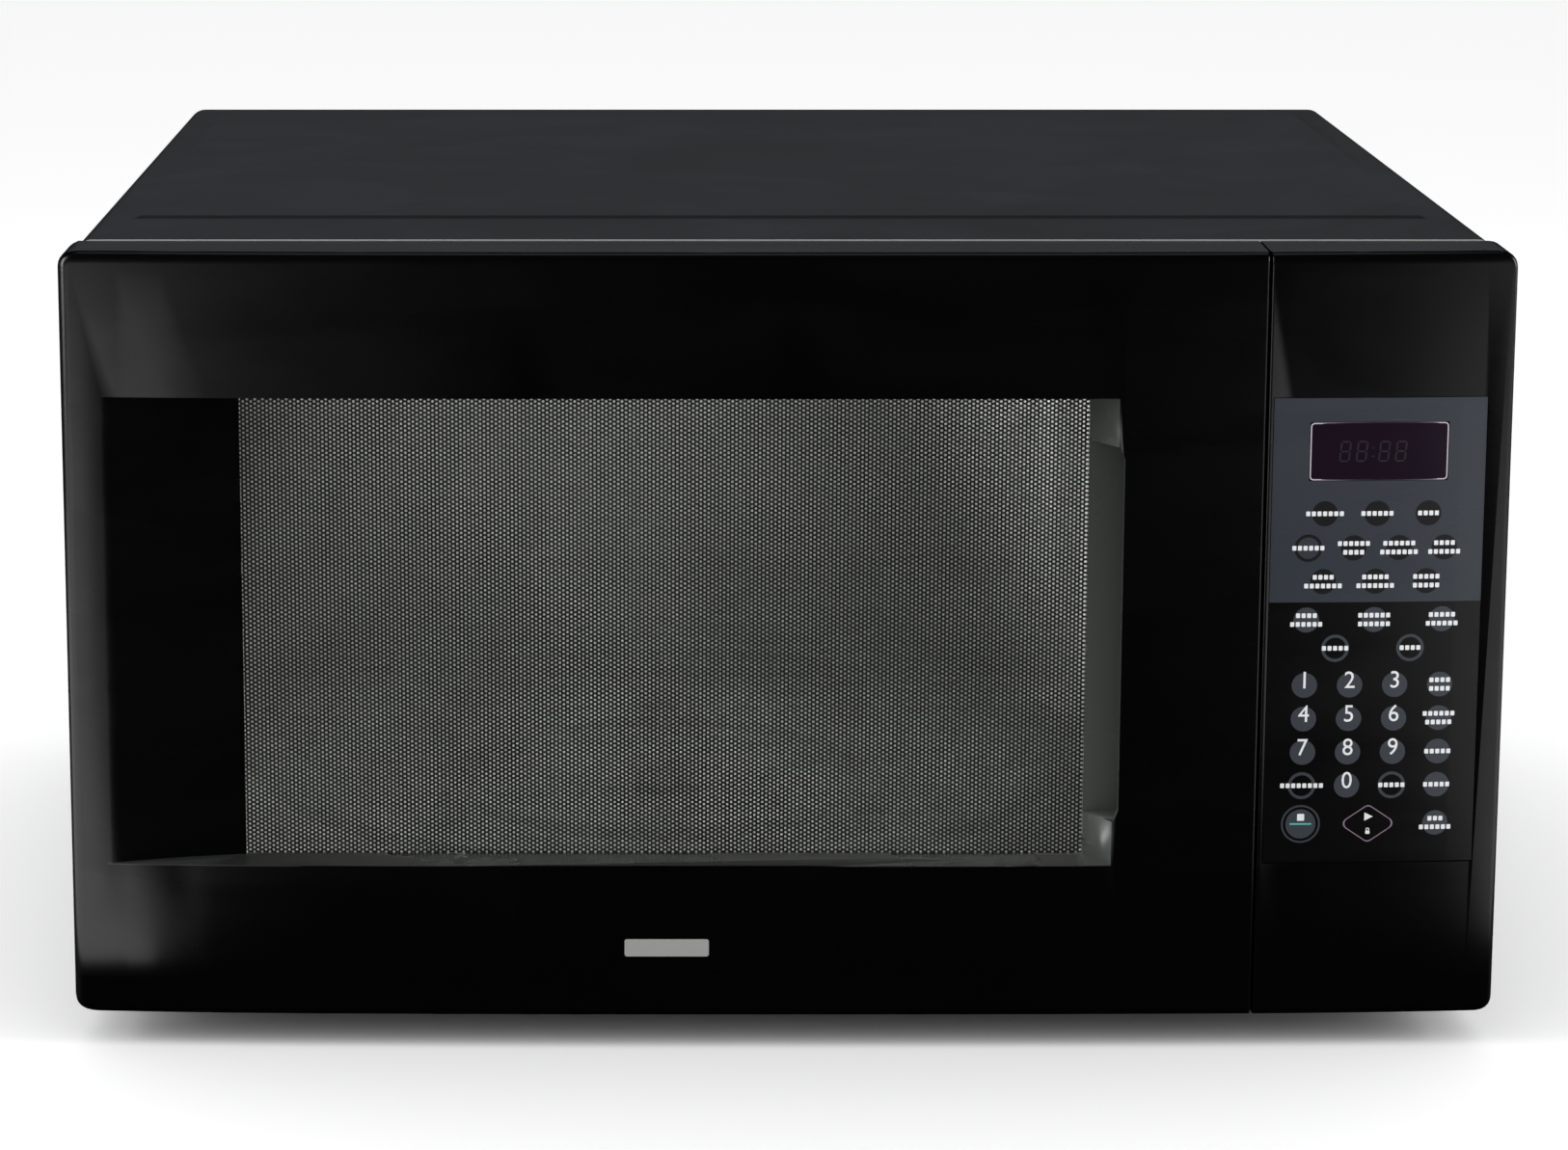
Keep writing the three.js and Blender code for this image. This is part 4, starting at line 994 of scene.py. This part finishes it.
def screwTree():
    tree, start, end = newGeometryTree("screwSet", [
        ("Screw", "NodeSocketObject"), ("Facing", "NodeSocketVector"), ("Scale", "NodeSocketFloat"),
        ("Seed", "NodeSocketInt"), ("Material", "NodeSocketMaterial")])
    given = start.outputs
    points = addNode(tree, "GeometryNodeMeshToPoints")
    tree.links.new(given["Geometry"], points.inputs["Mesh"])
    info = addNode(tree, "GeometryNodeObjectInfo")
    tree.links.new(given["Screw"], info.inputs[0])
    align = addNode(tree, "FunctionNodeAlignRotationToVector", axis="Z")
    tree.links.new(given["Facing"], align.inputs["Vector"])
    turn = addNode(tree, "FunctionNodeRandomValue", data_type="FLOAT")
    turn.inputs[3].default_value = 2 * math.pi
    tree.links.new(given["Seed"], turn.inputs["Seed"])
    spin = addNode(tree, "FunctionNodeAxisAngleToRotation")
    spin.inputs["Axis"].default_value = (0, 0, 1)
    tree.links.new(turn.outputs[1], spin.inputs["Angle"])
    rotation = addNode(tree, "FunctionNodeRotateRotation", rotation_space="LOCAL")
    tree.links.new(align.outputs[0], rotation.inputs[0])
    tree.links.new(spin.outputs[0], rotation.inputs[1])
    spread = addNode(tree, "GeometryNodeInstanceOnPoints")
    tree.links.new(points.outputs[0], spread.inputs["Points"])
    tree.links.new(info.outputs["Geometry"], spread.inputs["Instance"])
    tree.links.new(rotation.outputs[0], spread.inputs["Rotation"])
    tree.links.new(given["Scale"], spread.inputs["Scale"])
    finishTree(tree, spread.outputs[0], end, given["Material"])
    return tree


def makeScrews():
    template = screwTemplate()
    tree = screwTree()
    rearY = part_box("rear_panel")[0].y / mm + 1.0
    sets = {
        "rear_screws": dict(facing=(0, 1, 0), scale=1.0, slot="zinc_steel", places=[
            (x, rearY, z) for x in (-286, -140, 0, 140, 286) for z in (28, 333)]
            + [(s * 286, rearY, z) for s in (-1, 1) for z in (120, 220)]),
        "base_screws": dict(facing=(0, 0, -1), scale=1.0, slot="zinc_steel", places=[
            (x, y, 15.3) for x in (-280, 0, 170, 280) for y in (-190, 225)] + [(-85, 5, 15.3), (-19, 5, 15.3)]),
        "side_screws_left": dict(facing=(-1, 0, 0), scale=0.8, slot="cabinet_paint", places=[
            (-299.6, y, 24) for y in (-120, 20, 200)]),
        "side_screws_right": dict(facing=(1, 0, 0), scale=0.8, slot="cabinet_paint", places=[
            (299.6, y, 24) for y in (-120, 20, 200)]),
    }
    for seed, (name, entry) in enumerate(sets.items()):
        points = bpy.data.meshes.new(name)
        points.from_pydata([Vector(p) * mm for p in entry["places"]], [], [])
        mesh = runTree(name, tree, {"Screw": template, "Facing": Vector(entry["facing"]), "Scale": entry["scale"],
            "Seed": seed + 3, "Material": materials[entry["slot"]]}, points)
        addPiece(name, mesh, "cabinet", entry["slot"])
    bpy.data.objects.remove(template)
    print("screws placed", sum(len(entry["places"]) for entry in sets.values()))


makeScrews()


# ---- floor, world and lights ----

def makeFloor():
    # plain pale sweep, kept out of mirror rays as if a dark flag stood before it
    material = bpy.data.materials.new("pale_floor")
    material.use_nodes = True
    tree = material.node_tree
    shader = tree.nodes["Principled BSDF"]
    shader.inputs["Roughness"].default_value = 0.8
    shader.inputs["Specular IOR Level"].default_value = 0.1
    glossy = addNode(tree, "ShaderNodeLightPath").outputs["Is Glossy Ray"]
    shade = mixColor(tree, glossy, (0.97, 0.97, 0.97), (0.003, 0.003, 0.003))
    tree.links.new(shade, shader.inputs["Base Color"])
    mesh = bpy.data.meshes.new("floor")
    half = 30
    corners = [(-half, -half, 0), (half, -half, 0), (half, half, 0), (-half, half, 0)]
    mesh.from_pydata(corners, [], [(0, 1, 2, 3)])
    mesh.materials.append(material)
    floor = bpy.data.objects.new("floor", mesh)
    scene.collection.objects.link(floor)


def makeWorld():
    # one even tone all round, dim to mirror rays so that the lights make the reflections
    world = bpy.data.worlds.new("studio")
    world.use_nodes = True
    scene.world = world
    tree = world.node_tree
    background = tree.nodes["Background"]
    glossy = addNode(tree, "ShaderNodeLightPath").outputs["Is Glossy Ray"]
    tree.links.new(mixColor(tree, glossy, (1.0, 1.0, 1.0), (0.006, 0.006, 0.006)), background.inputs["Color"])


def areaLight(name, place, aim, size, power, color=(1, 1, 1)):
    data = bpy.data.lights.new(name, "AREA")
    data.shape = "RECTANGLE"
    data.size, data.size_y = size
    data.energy = power
    data.color = color
    light = bpy.data.objects.new(name, data)
    light.location = place
    direction = Vector(aim) - Vector(place)
    light.rotation_euler = direction.to_track_quat("-Z", "Y").to_euler()
    light.visible_camera = False
    scene.collection.objects.link(light)
    return light


def floorCard(name, place, size, power, turn):
    # soft card lying beside the oven, facing up and turned about its own middle
    light = areaLight(name, place, (place[0], place[1], 1), size, power)
    light.rotation_euler = (math.pi, 0, math.radians(turn))


makeFloor()
makeWorld()
areaLight("left_softbox", (-2.0, -0.6, 0.7), (-0.2, -0.2, 0.17), (0.6, 1.4), 22)
areaLight("right_softbox", (2.0, -0.6, 0.7), (0.2, -0.2, 0.17), (0.5, 1.2), 18)
floorCard("left_card", (-0.88, -1.05, 0.03), (0.8, 1.8), 8, -14)
floorCard("right_card", (0.92, -1.0, 0.03), (0.7, 1.7), 4.7, 18)
areaLight("top_softbox", (0, 0.2, 2.1), (0, 0, 0.2), (1.4, 1.0), 2)
areaLight("back_strip", (0, 2.0, 0.95), (0, 0, 0.33), (2.0, 0.4), 0.7, (0.85, 0.93, 1.0))
areaLight("cavity_lamp", (-0.03, 0.02, 0.3), (-0.03, 0.02, 0), (0.34, 0.3), 1.1)
areaLight("cavity_side", (0.135, 0.15, 0.17), (0.15, 0.225, 0.17), (0.03, 0.2), 0.35)
scene.view_settings.view_transform = "Standard"
scene.view_settings.look = "None"
print("lights ready")
